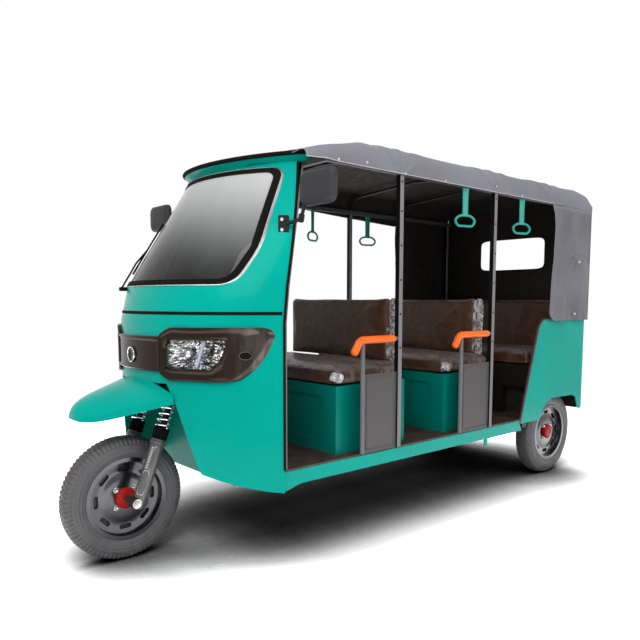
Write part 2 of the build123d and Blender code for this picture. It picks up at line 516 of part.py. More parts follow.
# ---------------------------------------------------------------- wheels
RIM_GAP, SLOTS, SLOT_R = 0.9, 8, 122.0
TYRE = [(36, BEAD_R), (TYRE_HALF_W, 212), (28, TYRE_R)]
FLANGE = [(46, 155), (46, 172), (42, 172), (42, BEAD_R - RIM_GAP)]
DISC = [(20, 150), (16, 110), (22, 80), (22, 44), (16, 44), (16, 76), (10, 110), (14, 150)]
tyre_profile = [(-x, r) for x, r in TYRE] + TYRE[::-1]
rim_profile = [(-x, r) for x, r in FLANGE] + FLANGE[::-1] + DISC + [(-20, 150)]
HUB = [(-34, 36), (15.8, 36), (15.8, 43.8), (38, 43.8), (44, 34)]


def wheel(tag, x, y, side, bore):
    """Tyre, slotted steel rim and hub; side is +1 where the dish faces +X."""
    keep("tyre_" + tag, lathe_x(tyre_profile, x, y, TYRE_R))
    rim = lathe_x([(side * a, r) for a, r in rim_profile], x, y, TYRE_R)
    window = Plane(origin=(0, 0, SLOT_R), x_dir=(0, 1, 0), z_dir=(1, 0, 0)) * SlotOverall(52, 20)
    cutter = extrude(window, amount=40, both=True)
    for i in range(SLOTS):
        rim = rim - Pos(x, y, TYRE_R) * Rot(360 * i / SLOTS, 0, 0) * cutter
    keep("rim_" + tag, rim)
    keep("hub_" + tag, lathe_x([(side * a, r) for a, r in [(-34, bore)] + HUB + [(44, bore)]], x, y, TYRE_R))


PIN_R = 8.0
wheel("front", 0.0, 0.0, 1, PIN_R + RUN_GAP)
wheel("rear_left", TRACK_HALF, WHEELBASE, 1, STUB_R + RUN_GAP)
wheel("rear_right", -TRACK_HALF, WHEELBASE, -1, STUB_R + RUN_GAP)

# ---------------------------------------------------------------- fork and bars
SLIDER_R, STANCHION_R, SPRING_R = 21.0, 13.0, 33.0
SLIDER_END, CROWN_LOW, CROWN_T, BAR_T = 262.0, 452.0, 26.0, 880.0
STEM_END = BAR_T + 25         # top of the steering stem, inside the handlebar's clamp
crown = bar(steer(CROWN_LOW), steer(CROWN_LOW + CROWN_T), 2 * LEG_X + 50, 50)
keep("fork_crown", crown + rod(steer(470), steer(STEM_END), STEM_R))
fork = rod((-LEG_X - 34, 0, TYRE_R), (LEG_X + 34, 0, TYRE_R), PIN_R)
fork = fork + rod((-LEG_X + 19, 0, TYRE_R), (-36, 0, TYRE_R), 13)
fork = fork + rod((LEG_X - 19, 0, TYRE_R), (46, 0, TYRE_R), 13)
springs = []
for x in (LEG_X, -LEG_X):
    fork = fork + rod(steer(-24, x), steer(SLIDER_END, x), SLIDER_R)
    fork = fork + rod(steer(SLIDER_END - 7, x), steer(CROWN_LOW, x), STANCHION_R)
    fork = fork + rod((x - 20, 0, TYRE_R), (x + 20, 0, TYRE_R), 24)
    springs.append(rod(steer(SLIDER_END + 2, x), steer(CROWN_LOW - 1, x), SPRING_R, STANCHION_R + 0.2))
keep("fork_legs", fork)
keep("fork_springs", *springs)
_, bar_y, bar_z = steer(BAR_T)
grip_path = [(130, bar_y, bar_z), (190, bar_y + 45, bar_z + 15), (275, bar_y + 130, bar_z + 10)]
bar_path = [(-x, y, z) for x, y, z in grip_path[::-1]] + grip_path
handlebar = tube_along(bar_path, 11, 30) + bar(steer(BAR_T - 30), steer(BAR_T + 30), 60, 50)
keep("handlebar", handlebar - rod(steer(BAR_T - 80), steer(STEM_END + 0.2), STEM_R))

# ---------------------------------------------------------------- export
for name, solids in made.items():
    moved = [Pos(0, Y_SHIFT, 0) * solid for solid in solids]
    export_step(Compound(children=moved) if len(moved) > 1 else moved[0], f"parts/{name}.step")
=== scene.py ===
"""Passenger rickshaw: paint, cloth, rubber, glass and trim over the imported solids.

Lengths are metres. Inside this file Y is measured from the front axle, as on the drawing of the
solids, and make_piece moves each finished mesh into the shared frame.
"""
import json
import math

import bmesh
import bpy
import numpy as np
from bpy.props import FloatProperty, FloatVectorProperty, IntProperty, PointerProperty
from mathutils import Matrix, Vector

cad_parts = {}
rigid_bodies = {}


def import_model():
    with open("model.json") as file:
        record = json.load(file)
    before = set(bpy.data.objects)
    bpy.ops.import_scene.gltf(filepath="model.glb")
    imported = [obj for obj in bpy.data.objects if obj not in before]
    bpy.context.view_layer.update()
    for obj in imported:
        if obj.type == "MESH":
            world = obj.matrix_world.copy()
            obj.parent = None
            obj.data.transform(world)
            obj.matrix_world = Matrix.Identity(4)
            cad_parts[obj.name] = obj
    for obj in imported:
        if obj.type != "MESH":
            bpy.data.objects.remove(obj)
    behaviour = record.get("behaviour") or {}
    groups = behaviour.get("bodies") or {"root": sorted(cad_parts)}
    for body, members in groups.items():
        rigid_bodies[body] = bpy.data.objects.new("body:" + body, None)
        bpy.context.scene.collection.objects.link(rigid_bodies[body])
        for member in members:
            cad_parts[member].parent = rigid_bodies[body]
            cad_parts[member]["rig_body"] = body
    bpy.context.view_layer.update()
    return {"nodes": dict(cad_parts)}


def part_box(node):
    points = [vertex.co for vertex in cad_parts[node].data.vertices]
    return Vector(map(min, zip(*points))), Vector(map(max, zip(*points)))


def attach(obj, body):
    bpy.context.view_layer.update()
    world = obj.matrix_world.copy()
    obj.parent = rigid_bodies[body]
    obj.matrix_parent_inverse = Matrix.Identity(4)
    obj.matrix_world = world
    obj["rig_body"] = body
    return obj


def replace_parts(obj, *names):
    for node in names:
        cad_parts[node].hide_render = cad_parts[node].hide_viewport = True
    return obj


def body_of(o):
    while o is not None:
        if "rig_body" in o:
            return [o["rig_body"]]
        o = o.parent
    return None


bl_info = {
    "name": "Passenger Rickshaw Dressing",
    "version": (1, 0, 0),
    "blender": (4, 5, 0),
    "location": "View3D > Sidebar > Rickshaw",
    "description": "Dresses the solids of a three-wheeled passenger rickshaw",
    "category": "Add Mesh",
}

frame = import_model()


def centre_y(node):
    low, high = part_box(node)
    return 0.5 * (low[1] + high[1])


FRONT_AXLE = centre_y("tyre_front")
SHIFT = np.array([0.0, FRONT_AXLE, 0.0])


def node_box(name):
    """Lowest and highest corner of a solid, with Y from the front axle."""
    low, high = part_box(name)
    return np.array(low[:]) - SHIFT, np.array(high[:]) - SHIFT


# ------------------------------------------------------------------ places taken from the solids
TYRE_R = 0.5 * (node_box("tyre_front")[1][2] - node_box("tyre_front")[0][2])
WHEELBASE = centre_y("tyre_rear_left") - FRONT_AXLE
TRACK_HALF = 0.5 * (node_box("tyre_rear_left")[0][0] + node_box("tyre_rear_left")[1][0])
REAR_END = node_box("tail_lamps")[1][1]
BODY_TOP = node_box("rear_body")[1][2]
SILL_X = node_box("side_sills")[1][0]
RAIL_X = node_box("tube_frame")[1][0]
RAIL_Z = node_box("side_flaps")[1][2] + 0.0003
FLOOR_TOP = node_box("floor_pan")[1][2]
CAB_HALF = node_box("cab_shell")[1][0]
CAB_NOSE = node_box("cab_shell")[0][1]
CAB_DEPTH = 0.36
CAB_R = (CAB_HALF ** 2 + CAB_DEPTH ** 2) / (2 * CAB_DEPTH)
CAB_EDGE = CAB_NOSE + CAB_DEPTH
CAB_Z = np.array([0.310, 0.985, 1.130, 1.665])
CAB_N = CAB_NOSE + np.array([0.0, 0.0, 0.035, 0.388])
RAIL_TUBE = 0.024             # side of the rail's square tube
PILLARS = (1.090, 1.817)
RAKE = math.radians(20.8)
STEER_Y = 0.020
LEG_X = 0.112


# ------------------------------------------------------------------ meshes from arrays
MERGE_DIST = 1e-6


def grid_quads(rows, cols, wrap_rows=False, wrap_cols=False):
    """Quads of a grid of points numbered row by row; a wrapped direction joins its end to its start."""
    i = np.arange(rows if wrap_rows else rows - 1)[:, None]
    j = np.arange(cols if wrap_cols else cols - 1)[None, :]
    below, beside = (i + 1) % rows, (j + 1) % cols
    corners = [i * cols + j, i * cols + beside, below * cols + beside, below * cols + j]
    return np.stack(np.broadcast_arrays(*corners), axis=-1).reshape(-1, 4)


def surface(points, wrap_rows=False, wrap_cols=False, cap_ends=False):
    """A grid of points (rows, cols, 3) as a shape: its points, quads and end caps."""
    rows, cols = points.shape[:2]
    quads = grid_quads(rows, cols, wrap_rows, wrap_cols)
    caps = []
    if cap_ends:
        caps = [np.arange(cols)[::-1], (rows - 1) * cols + np.arange(cols)]
    return points.reshape(-1, 3), quads, caps


def join(*shapes):
    """Several shapes as one, their points numbered on."""
    offsets = np.cumsum([0] + [len(s[0]) for s in shapes])
    points = np.concatenate([s[0] for s in shapes])
    quads = np.concatenate([s[1] + o for s, o in zip(shapes, offsets)])
    caps = [cap + o for s, o in zip(shapes, offsets) for cap in s[2]]
    return points, quads, caps


def mirrored(shape):
    """The same shape on the other side of the centre plane."""
    points, quads, caps = shape
    return points * [-1, 1, 1], quads[:, ::-1], [cap[::-1] for cap in caps]


def both_sides(shape):
    return join(shape, mirrored(shape))


def turned(shape, axis, angle, about):
    """The shape turned by angle round a line along axis through a point."""
    matrix = np.array(Matrix.Rotation(angle, 3, axis))
    return (shape[0] - about) @ matrix.T + about, shape[1], shape[2]


def unit(v):
    return v / np.maximum(np.linalg.norm(v, axis=-1, keepdims=True), 1e-12)


def full_turn(count):
    """count angles at equal steps round a circle."""
    return np.linspace(0, 2 * np.pi, count, endpoint=False)


def along(path, closed=False):
    """Directions of travel at each point of a path."""
    if closed:
        return unit(np.roll(path, -1, axis=0) - np.roll(path, 1, axis=0))
    return unit(np.gradient(path, axis=0))


def bend_path(points, cut, steps=8, closed=False):
    """Straight runs whose corners are replaced by parabolas that start at cut from the corner."""
    p = np.asarray(points, float)
    before, after = np.roll(p, 1, axis=0), np.roll(p, -1, axis=0)
    t = np.linspace(0, 1, steps)[None, :, None]
    a = (p + unit(before - p) * cut)[:, None]
    b = (p + unit(after - p) * cut)[:, None]
    arcs = (1 - t) ** 2 * a + 2 * t * (1 - t) * p[:, None] + t ** 2 * b
    if closed:
        return arcs.reshape(-1, p.shape[1])
    return np.concatenate([p[:1], arcs[1:-1].reshape(-1, p.shape[1]), p[-1:]])


def resample(path, count, closed=False):
    """count points at equal steps of length along a path."""
    p = np.concatenate([path, path[:1]]) if closed else path
    length = np.concatenate([[0], np.cumsum(np.linalg.norm(np.diff(p, axis=0), axis=1))])
    at = np.linspace(0, length[-1], count + 1)[:-1] if closed else np.linspace(0, length[-1], count)
    return np.stack([np.interp(at, length, p[:, k]) for k in range(p.shape[1])], axis=1)


def tube(path, radius, sides=12, closed=False, up=(0, 0, 1)):
    """A round section of the given radius carried along a path, its first point to the side of up."""
    path = np.asarray(path, float)
    ahead = along(path, closed)
    side = unit(np.cross(ahead, np.asarray(up, float)))
    top = np.cross(side, ahead)
    angle = full_turn(sides)[None, :, None]
    r = np.broadcast_to(np.asarray(radius, float), (len(path),))[:, None, None]
    ring = path[:, None] + r * (np.cos(angle) * side[:, None] + np.sin(angle) * top[:, None])
    return surface(ring, wrap_rows=closed, wrap_cols=True, cap_ends=not closed)


def rounded_outline(half_w, half_h, corner, steps=8):
    """Rectangle of the two half sizes with round corners, as points (n, 2) anticlockwise."""
    t = np.linspace(0, np.pi / 2, steps)
    quarter = np.stack([np.cos(t), np.sin(t)], axis=1) * corner
    centres = np.array([[half_w - corner, half_h - corner], [corner - half_w, half_h - corner],
                        [corner - half_w, corner - half_h], [half_w - corner, corner - half_h]])
    turns = [[[1, 0], [0, 1]], [[0, 1], [-1, 0]], [[-1, 0], [0, -1]], [[0, -1], [1, 0]]]
    return np.concatenate([quarter @ np.array(turn) + centre for turn, centre in zip(turns, centres)])


def ring_outline(radius, sides):
    angle = full_turn(sides)
    return np.stack([np.cos(angle), np.sin(angle)], axis=1) * radius


def layered(flat, levels, origin, across, up):
    """Plane rings set at their levels along across x up, and capped; across and up span their plane."""
    across, up = unit(np.asarray(across, float)), unit(np.asarray(up, float))
    rise = levels[:, None, None] * np.cross(across, up)
    points = np.asarray(origin, float) + flat[..., :1] * across + flat[..., 1:] * up + rise
    return surface(points, wrap_cols=True, cap_ends=True)


def stack(outline, rings, origin, across, up):
    """An outline set inwards by a distance at several levels: each ring is (inset, level)."""
    rings = np.asarray(rings, float)
    step = along(outline, closed=True)
    normal = np.stack([step[:, 1], -step[:, 0]], axis=1)
    return layered(outline[None] - rings[:, 0, None, None] * normal[None], rings[:, 1], origin, across, up)


def dome(outline, rings, origin, across, up):
    """An outline shrunk towards its middle at several levels: each ring is (share of the outline, level)."""
    rings = np.asarray(rings, float)
    return layered(outline[None] * rings[:, 0, None, None], rings[:, 1], origin, across, up)


def lathe(profile, centre, axis, sides, closed=False):
    """A profile of (distance along the axis, radius) turned once round the axis through centre."""
    axis = unit(np.asarray(axis, float))
    side = unit(np.cross(axis, [0.0, 0.0, 1.0] if abs(axis[2]) < 0.9 else [0.0, 1.0, 0.0]))
    top = np.cross(axis, side)
    profile = np.asarray(profile, float)
    angle = full_turn(sides)[None, :, None]
    spoke = np.cos(angle) * side + np.sin(angle) * top
    points = np.asarray(centre, float) + profile[:, None, :1] * axis + profile[:, None, 1:] * spoke
    return surface(points, wrap_rows=closed, wrap_cols=True, cap_ends=not closed)


def into_scene(name, data):
    """A new object that holds the data, linked into the scene."""
    item = bpy.data.objects.new(name, data)
    bpy.context.scene.collection.objects.link(item)
    return item


def read_values(items, key, width, kind=np.float32):
    """One property of a mesh's vertices, corners or faces as an array of rows of that width."""
    values = np.empty(len(items) * width, kind)
    items.foreach_get(key, values)
    return values.reshape(-1, width).astype(float if kind is np.float32 else kind)


def vertex_places(mesh):
    return read_values(mesh.vertices, "co", 3)


def merge_corners(mesh, outward=False):
    """Joins corners that lie together, and with outward turns every face outwards."""
    bm = bmesh.new()
    bm.from_mesh(mesh)
    bmesh.ops.remove_doubles(bm, verts=bm.verts, dist=MERGE_DIST)
    if outward:
        bmesh.ops.recalc_face_normals(bm, faces=bm.faces)
    bm.to_mesh(mesh)
    bm.free()


def fill_mesh(mesh, shape):
    """Writes a shape's points, quads and caps into an empty mesh, moved into the shared frame."""
    points, quads, caps = shape
    sizes = np.array([4] * len(quads) + [len(cap) for cap in caps])
    corners = np.concatenate([quads.ravel()] + list(caps)).astype(np.int32)
    mesh.vertices.add(len(points))
    mesh.vertices.foreach_set("co", (points + SHIFT).astype(np.float32).ravel())
    mesh.loops.add(len(corners))
    mesh.loops.foreach_set("vertex_index", corners)
    mesh.polygons.add(len(sizes))
    mesh.polygons.foreach_set("loop_start", np.concatenate([[0], np.cumsum(sizes)[:-1]]).astype(np.int32))
    mesh.update(calc_edges=True)
    mesh.validate()


def make_piece(name, shape, finishes, body="body", sharp=35.0, outward=True):
    """A mesh object of a shape and its finishes, which rides on a body; the first finish gives its slot.

    sharp is the angle in degrees past which an edge shades sharp, and None keeps all of it smooth."""
    mesh = bpy.data.meshes.new(name)
    fill_mesh(mesh, shape)
    if outward:
        merge_corners(mesh, outward=True)
    mesh.shade_smooth()
    if sharp:
        mesh.set_sharp_from_angle(angle=math.radians(sharp))
    piece = into_scene(name, mesh)
    finishes = [finishes] if isinstance(finishes, str) else finishes
    for finish_name in finishes:
        mesh.materials.append(finish(finish_name))
    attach(piece, body)
    return piece


def add_modifier(piece, name, kind, **settings):
    modifier = piece.modifiers.new(name, kind)
    for key, value in settings.items():
        setattr(modifier, key, value)
    return modifier


# ------------------------------------------------------------------ the cab's round front
def cab_nose(z):
    """Y of the cab's foremost line at height z: straight runs between four levels."""
    return np.interp(z, CAB_Z, CAB_N)


def cab_y(x, z, out=0.0):
    """Y of the skin, or of a surface out ahead of it: a cylinder of radius CAB_R sheared by cab_nose."""
    r = CAB_R + out
    return cab_nose(z) + CAB_R - np.sqrt(np.maximum(r * r - x * x, 1e-9))


def on_cab(xz, out=0.0):
    """Points (n, 2) in front view laid on the cab's skin."""
    return np.stack([xz[:, 0], cab_y(xz[:, 0], xz[:, 1], out), xz[:, 1]], axis=1)


def cab_ribbon(path, half, rise, sink=0.001, closed=False, sides=8):
    """A bead on the skin: half wide to each side of its path in front view, rise proud of it."""
    step = along(path, closed)
    normal = np.stack([step[:, 1], -step[:, 0]], axis=1)
    angle = full_turn(sides)
    over = np.cos(angle) * half
    out = np.where(np.sin(angle) > 0, rise, sink) * np.sin(angle)
    flat = path[:, None] + over[None, :, None] * normal[:, None]
    x, z = flat[..., 0], flat[..., 1]
    points = np.stack([x, cab_y(x, z, out[None, :]), z], axis=-1)
    return surface(points, wrap_rows=closed, wrap_cols=True, cap_ends=not closed)


def skin_boss(outline, rings):
    """A raised plate on the skin: each ring is (share of the outline, height over the skin)."""
    centre = outline.mean(axis=0)
    points = [on_cab(centre + share * (outline - centre), out) for share, out in rings]
    return surface(np.stack(points), wrap_cols=True, cap_ends=True)


def cab_normals(x, z, out):
    """Outward normals of the skin's formula; its slope is eased over 40 mm at the two creases."""
    r = CAB_R + out
    soft = 0.04
    levels = [cab_nose(z + d) for d in (-soft, 0.0, soft)]
    slope = (levels[2] - levels[0]) / (2 * soft)
    return unit(np.stack([x / np.sqrt(np.maximum(r * r - x * x, 1e-9)), -np.ones_like(x), slope], axis=-1))


def steer(t, x=0.0):
    """Point at t along the steering axis, from the wheel centre's level."""
    return np.array([x, STEER_Y + t * math.sin(RAKE), TYRE_R + t * math.cos(RAKE)])


STEER_AHEAD = steer(1.0) - steer(0.0)


# ------------------------------------------------------------------ sizes and colours a user may change
def colour_property(name, description, default):
    return FloatVectorProperty(name=name, description=description, subtype="COLOR", size=3, min=0.0, max=1.0,
                               default=default)


def length_property(name, description, default):
    return FloatProperty(name=name, description=description, default=default, subtype="DISTANCE",
                         unit="LENGTH")


def number_property(name, description, default, **limits):
    return FloatProperty(name=name, description=description, default=default, **limits)


class RickshawColours(bpy.types.PropertyGroup):
    body: colour_property("Body paint", "Gloss enamel of the cab, sills and rear body", (0.0, 0.355, 0.290))
    frame_tube: colour_property("Frame tube", "Grey paint of the pillars and rails", (0.105, 0.102, 0.108))
    guard: colour_property("Guard panel", "Grey paint of the armrests' panels", (0.098, 0.092, 0.095))
    dark_metal: colour_property("Dark metal", "Black paint of chassis and fork", (0.012, 0.012, 0.013))
    canopy: colour_property("Canopy cloth", "Outside of the coated canopy cloth", (0.225, 0.225, 0.262))
    lining: colour_property("Lining", "Dark inside of the canopy and rear body", (0.013, 0.010, 0.008))
    leather: colour_property("Seat leather", "Brown seat covers", (0.044, 0.019, 0.010))
    grip: colour_property("Armrest grip", "Orange grips of the armrests", (0.98, 0.135, 0.006))
    handle: colour_property("Grab handle", "Hanging handles", (0.012, 0.30, 0.235))
    hub: colour_property("Hub", "Red wheel hubs", (0.36, 0.012, 0.010))
    floor: colour_property("Floor", "Red-brown floor sheet", (0.040, 0.017, 0.010))


class RickshawSizes(bpy.types.PropertyGroup):
    belt_z: length_property("Belt height", "Height of the black strip round the cab", 1.022)
    belt_half: length_property("Belt half width", "Half the height of the black strip", 0.0065)
    lugs: IntProperty(name="Shoulder lugs", description="Tread lugs round a tyre", default=80, min=30, max=90)
    lug_depth: length_property("Lug depth", "Depth of the grooves between lugs", 0.0042)
    coil_turns: number_property("Spring turns", "Turns of each fork spring", 6.5)
    crease: length_property("Canopy crease", "Height of the creases over the pillars", 0.0060)
    sag: length_property("Canopy sag", "Sag of the canopy between its bows", 0.006)
    pad_swell: length_property("Pad swell", "Largest swelling of a seat pad under its cover", 0.012)


class RickshawStage(bpy.types.PropertyGroup):
    floor_tone: number_property("Floor tone", "Albedo of the floor", 0.80, min=0.0, max=1.0)
    floor_seen: number_property("Floor seen", "Tone of the floor where it is seen", 4.0)
    shadow_reach: length_property("Shadow reach", "How far the contact shadow spreads", 0.60)
    shadow_depth: number_property("Shadow depth", "Power that deepens the contact shadow", 5.0)
    world_level: number_property("World level", "Strength of the even light", 0.62)
    key_power: number_property("Key light", "Power of the large soft lamp", 150.0, unit="POWER")
    fill_power: number_property("Fill light", "Power of the side lamp", 60.0, unit="POWER")


def colours():
    return bpy.context.scene.rickshaw_colours


def sizes():
    return bpy.context.scene.rickshaw_sizes


def toned(colour, share):
    """The colour made lighter or darker by one share."""
    return [share * c for c in colour]


# ------------------------------------------------------------------ shader helpers
NOISE_ROUGHNESS = 0.55


def put(tree, kind, inputs=None, **settings):
    """Adds a node, sets its settings, and sets or links its inputs by name or number."""
    node = tree.nodes.new(kind)
    for key, value in settings.items():
        setattr(node, key, value)
    for key, value in (inputs or {}).items():
        if isinstance(value, bpy.types.NodeSocket):
            tree.links.new(value, node.inputs[key])
        else:
            node.inputs[key].default_value = value
    return node


def maths(tree, operation, a, b=0.0, clamp=False):
    return put(tree, "ShaderNodeMath", {0: a, 1: b}, operation=operation, use_clamp=clamp).outputs[0]


def blend_colours(tree, mask, a, b):
    a, b = (c if isinstance(c, bpy.types.NodeSocket) else (*c[:3], 1.0) for c in (a, b))
    return put(tree, "ShaderNodeMix", {0: mask, 6: a, 7: b}, data_type="RGBA").outputs[2]


def blend_values(tree, mask, a, b):
    return put(tree, "ShaderNodeMix", {0: mask, 2: a, 3: b}, data_type="FLOAT").outputs[0]


def spread(tree, value, low, high, to_low=0.0, to_high=1.0):
    """Maps low..high to the second range, smoothly and clamped."""
    inputs = {0: value, 1: low, 2: high, 3: to_low, 4: to_high}
    return put(tree, "ShaderNodeMapRange", inputs, interpolation_type="SMOOTHSTEP").outputs[0]


def object_place(tree):
    return put(tree, "ShaderNodeTexCoord").outputs["Object"]


def place_part(tree, axis):
    return put(tree, "ShaderNodeSeparateXYZ", {0: object_place(tree)}).outputs[axis]


def noise(tree, scale, detail=3.0, place=None, stretch=None):
    """Values of a noise texture on Object coordinates, or on place, squeezed by stretch."""
    place = place or object_place(tree)
    if stretch:
        place = put(tree, "ShaderNodeMapping", {0: place, 3: stretch}).outputs[0]
    inputs = {"Vector": place, "Scale": scale, "Detail": detail, "Roughness": NOISE_ROUGHNESS}
    return put(tree, "ShaderNodeTexNoise", inputs).outputs[0]


def bump(tree, height, distance, strength=1.0, under=None):
    inputs = {"Height": height, "Distance": distance, "Strength": strength}
    if under is not None:
        inputs["Normal"] = under
    return put(tree, "ShaderNodeBump", inputs).outputs[0]


def group_shell(name, inputs, outputs):
    tree = bpy.data.node_groups.new(name, "ShaderNodeTree")
    for label, default in inputs:
        socket = tree.interface.new_socket(name=label, in_out="INPUT", socket_type="NodeSocketFloat")
        socket.default_value = default
    for label in outputs:
        tree.interface.new_socket(name=label, in_out="OUTPUT", socket_type="NodeSocketFloat")
    return tree, put(tree, "NodeGroupInput"), put(tree, "NodeGroupOutput")


def build_edge_wear():
    """Mask of worn creases: the convex places of a mesh, broken up by noise."""
    tree, given, out = group_shell("edge_wear", [("Amount", 0.5), ("Scale", 40.0)], ["Mask"])
    point = put(tree, "ShaderNodeNewGeometry").outputs["Pointiness"]
    patches = noise(tree, given.outputs["Scale"], 4.0)
    raised = maths(tree, "ADD", point, maths(tree, "MULTIPLY", patches, 0.03))
    mask = maths(tree, "MULTIPLY", spread(tree, raised, 0.545, 0.60), given.outputs["Amount"], clamp=True)
    tree.links.new(mask, out.inputs["Mask"])
    return tree


def build_road_dust():
    """Mask of dust: full at the ground, gone by the given height, in soft patches."""
    tree, given, out = group_shell("road_dust", [("Amount", 0.3), ("Height", 0.6)], ["Mask"])
    height = place_part(tree, 2)
    low = maths(tree, "SUBTRACT", 1.0, maths(tree, "DIVIDE", height, given.outputs["Height"]), clamp=True)
    patches = spread(tree, noise(tree, 7.0, 5.0), 0.35, 0.75)
    mask = maths(tree, "MULTIPLY", maths(tree, "MULTIPLY", low, patches), given.outputs["Amount"], clamp=True)
    tree.links.new(mask, out.inputs["Mask"])
    return tree


def build_fine_grain():
    """Height and mask of a fine moulded or sprayed grain at the given scale."""
    tree, given, out = group_shell("fine_grain", [("Scale", 300.0)], ["Height", "Mask"])
    place = object_place(tree)
    scale = given.outputs["Scale"]
    cells = put(tree, "ShaderNodeTexVoronoi", {"Vector": place, "Scale": scale}).outputs["Distance"]
    tree.links.new(maths(tree, "ADD", cells, noise(tree, scale, 2.0)), out.inputs["Height"])
    tree.links.new(spread(tree, noise(tree, 18.0, 4.0), 0.3, 0.7), out.inputs["Mask"])
    return tree


def build_cloth_weave():
    """Height of a plain weave, two sets of crossing ridges on the UV in metres, and a mask of slubs."""
    tree, given, out = group_shell("cloth_weave", [("Threads", 700.0)], ["Height", "Slub"])
    place = put(tree, "ShaderNodeUVMap").outputs[0]
    parts = put(tree, "ShaderNodeSeparateXYZ", {0: place})
    waves = []
    for axis in (0, 1):
        turns = maths(tree, "MULTIPLY", parts.outputs[axis], given.outputs["Threads"])
        waves.append(maths(tree, "ABSOLUTE", maths(tree, "SINE", turns)))
    tree.links.new(maths(tree, "MULTIPLY", *waves), out.inputs["Height"])
    tree.links.new(noise(tree, 30.0, 4.0, place=place, stretch=(1.0, 8.0, 1.0)), out.inputs["Slub"])
    return tree


def build_film_crinkle():
    """Height and mask of creased clear film: sharp ridges in two sizes that drift over the surface."""
    tree, given, out = group_shell("film_crinkle", [("Scale", 14.0)], ["Height", "Ridge"])
    place = object_place(tree)
    drift = put(tree, "ShaderNodeTexNoise", {"Vector": place, "Scale": 6.0, "Detail": 3.0}).outputs[1]
    drift = put(tree, "ShaderNodeVectorMath", {0: drift, 3: 0.12}, operation="SCALE").outputs[0]
    bent = put(tree, "ShaderNodeVectorMath", {0: place, 1: drift}, operation="ADD").outputs[0]
    ridges = []
    for share in (1.0, 2.7):
        scale = maths(tree, "MULTIPLY", given.outputs["Scale"], share)
        inputs = {"Vector": bent, "Scale": scale}
        cells = put(tree, "ShaderNodeTexVoronoi", inputs, feature="DISTANCE_TO_EDGE")
        ridges.append(spread(tree, cells.outputs[0], 0.0, 0.22, 1.0, 0.0))
    height = maths(tree, "ADD", ridges[0], maths(tree, "MULTIPLY", ridges[1], 0.5))
    tree.links.new(height, out.inputs["Height"])
    tree.links.new(ridges[0], out.inputs["Ridge"])
    return tree


GROUPS = {"edge_wear": build_edge_wear, "road_dust": build_road_dust, "fine_grain": build_fine_grain,
          "cloth_weave": build_cloth_weave, "film_crinkle": build_film_crinkle}
built_groups = {}
built_finishes = {}


def effect(tree, name, **values):
    """Places a shared group in a material, with that material's own values."""
    if name not in built_groups:
        built_groups[name] = GROUPS[name]()
    node = put(tree, "ShaderNodeGroup", node_tree=built_groups[name])
    for key, value in values.items():
        node.inputs[key].default_value = value
    return node.outputs


def new_finish(name, **constants):
    """A material with one Principled shader, whose constants are set on its own sockets."""
    material = bpy.data.materials.new(name)
    material.use_nodes = True
    tree = material.node_tree
    shader = tree.nodes["Principled BSDF"]
    for key, value in constants.items():
        shader.inputs[key.replace("_", " ")].default_value = value
    return material, tree, shader


def feed(tree, shader, **sockets):
    for key, value in sockets.items():
        tree.links.new(value, shader.inputs[key.replace("_", " ")])


def facing(tree, axis):
    """One component of the direction that the surface faces."""
    normal = put(tree, "ShaderNodeNewGeometry").outputs["Normal"]
    return put(tree, "ShaderNodeSeparateXYZ", {0: normal}).outputs[axis]


DUST_TONE = (0.20, 0.18, 0.15)


def enamel(name, colour, rough, coat=0.10, dust=0.25, dust_height=0.55, inner=None, inner_tone=None,
           peel=0.0004, shine=0.14):
    """Sprayed paint: slight colour drift, orange peel and dust low down; its gloss is tinted by its colour.

    inner gives the mask of the faces that have the lining's or another tone."""
    gloss_tint = (*[0.08 + 0.92 * c / max(colour[:3]) for c in colour[:3]], 1.0)
    material, tree, shader = new_finish(name, Coat_Weight=coat, Coat_Roughness=0.05, Specular_IOR_Level=shine,
                                        Specular_Tint=gloss_tint)
    drift = spread(tree, noise(tree, 3.0, 4.0), 0.3, 0.7, 0.93, 1.05)
    base = put(tree, "ShaderNodeVectorMath", {0: (*colour[:3],), 3: drift}, operation="SCALE").outputs[0]
    if inner:
        base = blend_colours(tree, inner(tree), base, inner_tone or colours().lining[:])
    dusty = effect(tree, "road_dust", Amount=dust, Height=dust_height)["Mask"]
    base = blend_colours(tree, dusty, base, DUST_TONE)
    roughness = blend_values(tree, dusty, rough, 0.75)
    roughness = maths(tree, "ADD", roughness, spread(tree, noise(tree, 25.0, 3.0), 0.3, 0.8, 0.0, 0.06))
    feed(tree, shader, Base_Color=base, Roughness=roughness,
         Normal=bump(tree, noise(tree, 240.0, 2.0), peel, 0.5))
    return material


def body_paint():
    return enamel("body_paint", colours().body, rough=0.24, coat=0.03, dust=0.012)


def well_paint():
    # painted shade: the wheel well's paint is the body's darkened to 0.72
    return enamel("well_paint", toned(colours().body, 0.72), rough=0.4, coat=0.05, dust=0.25)


def dark_inside_body_paint():
    """Body paint whose inner face is dark: the sides and the rear panel are 10 and 12 mm thick."""
    x_split = SILL_X - 0.004
    y_split = REAR_END - 0.0155 + FRONT_AXLE

    # the inner faces of the sides and the rear panel take the lining's dark colour
    def inner(tree):
        across = maths(tree, "LESS_THAN", maths(tree, "ABSOLUTE", place_part(tree, 0)), x_split)
        ahead = maths(tree, "LESS_THAN", place_part(tree, 1), y_split)
        return maths(tree, "MULTIPLY", across, ahead)
    return enamel("dark_inside_body_paint", colours().body, rough=0.24, coat=0.03, dust=0.012, inner=inner)


def bench_paint():
    """Body paint darkened to half as painted shade under the seats; the rear bench takes the dark lining's
    colour.
    """
    split = WHEELBASE - 0.5 + FRONT_AXLE

    def inner(tree):
        return maths(tree, "GREATER_THAN", place_part(tree, 1), split)
    # painted shade: the benches' paint is the body's darkened to half
    return enamel("bench_paint", toned(colours().body, 0.5), rough=0.30, coat=0.05, dust=0.05, inner=inner)


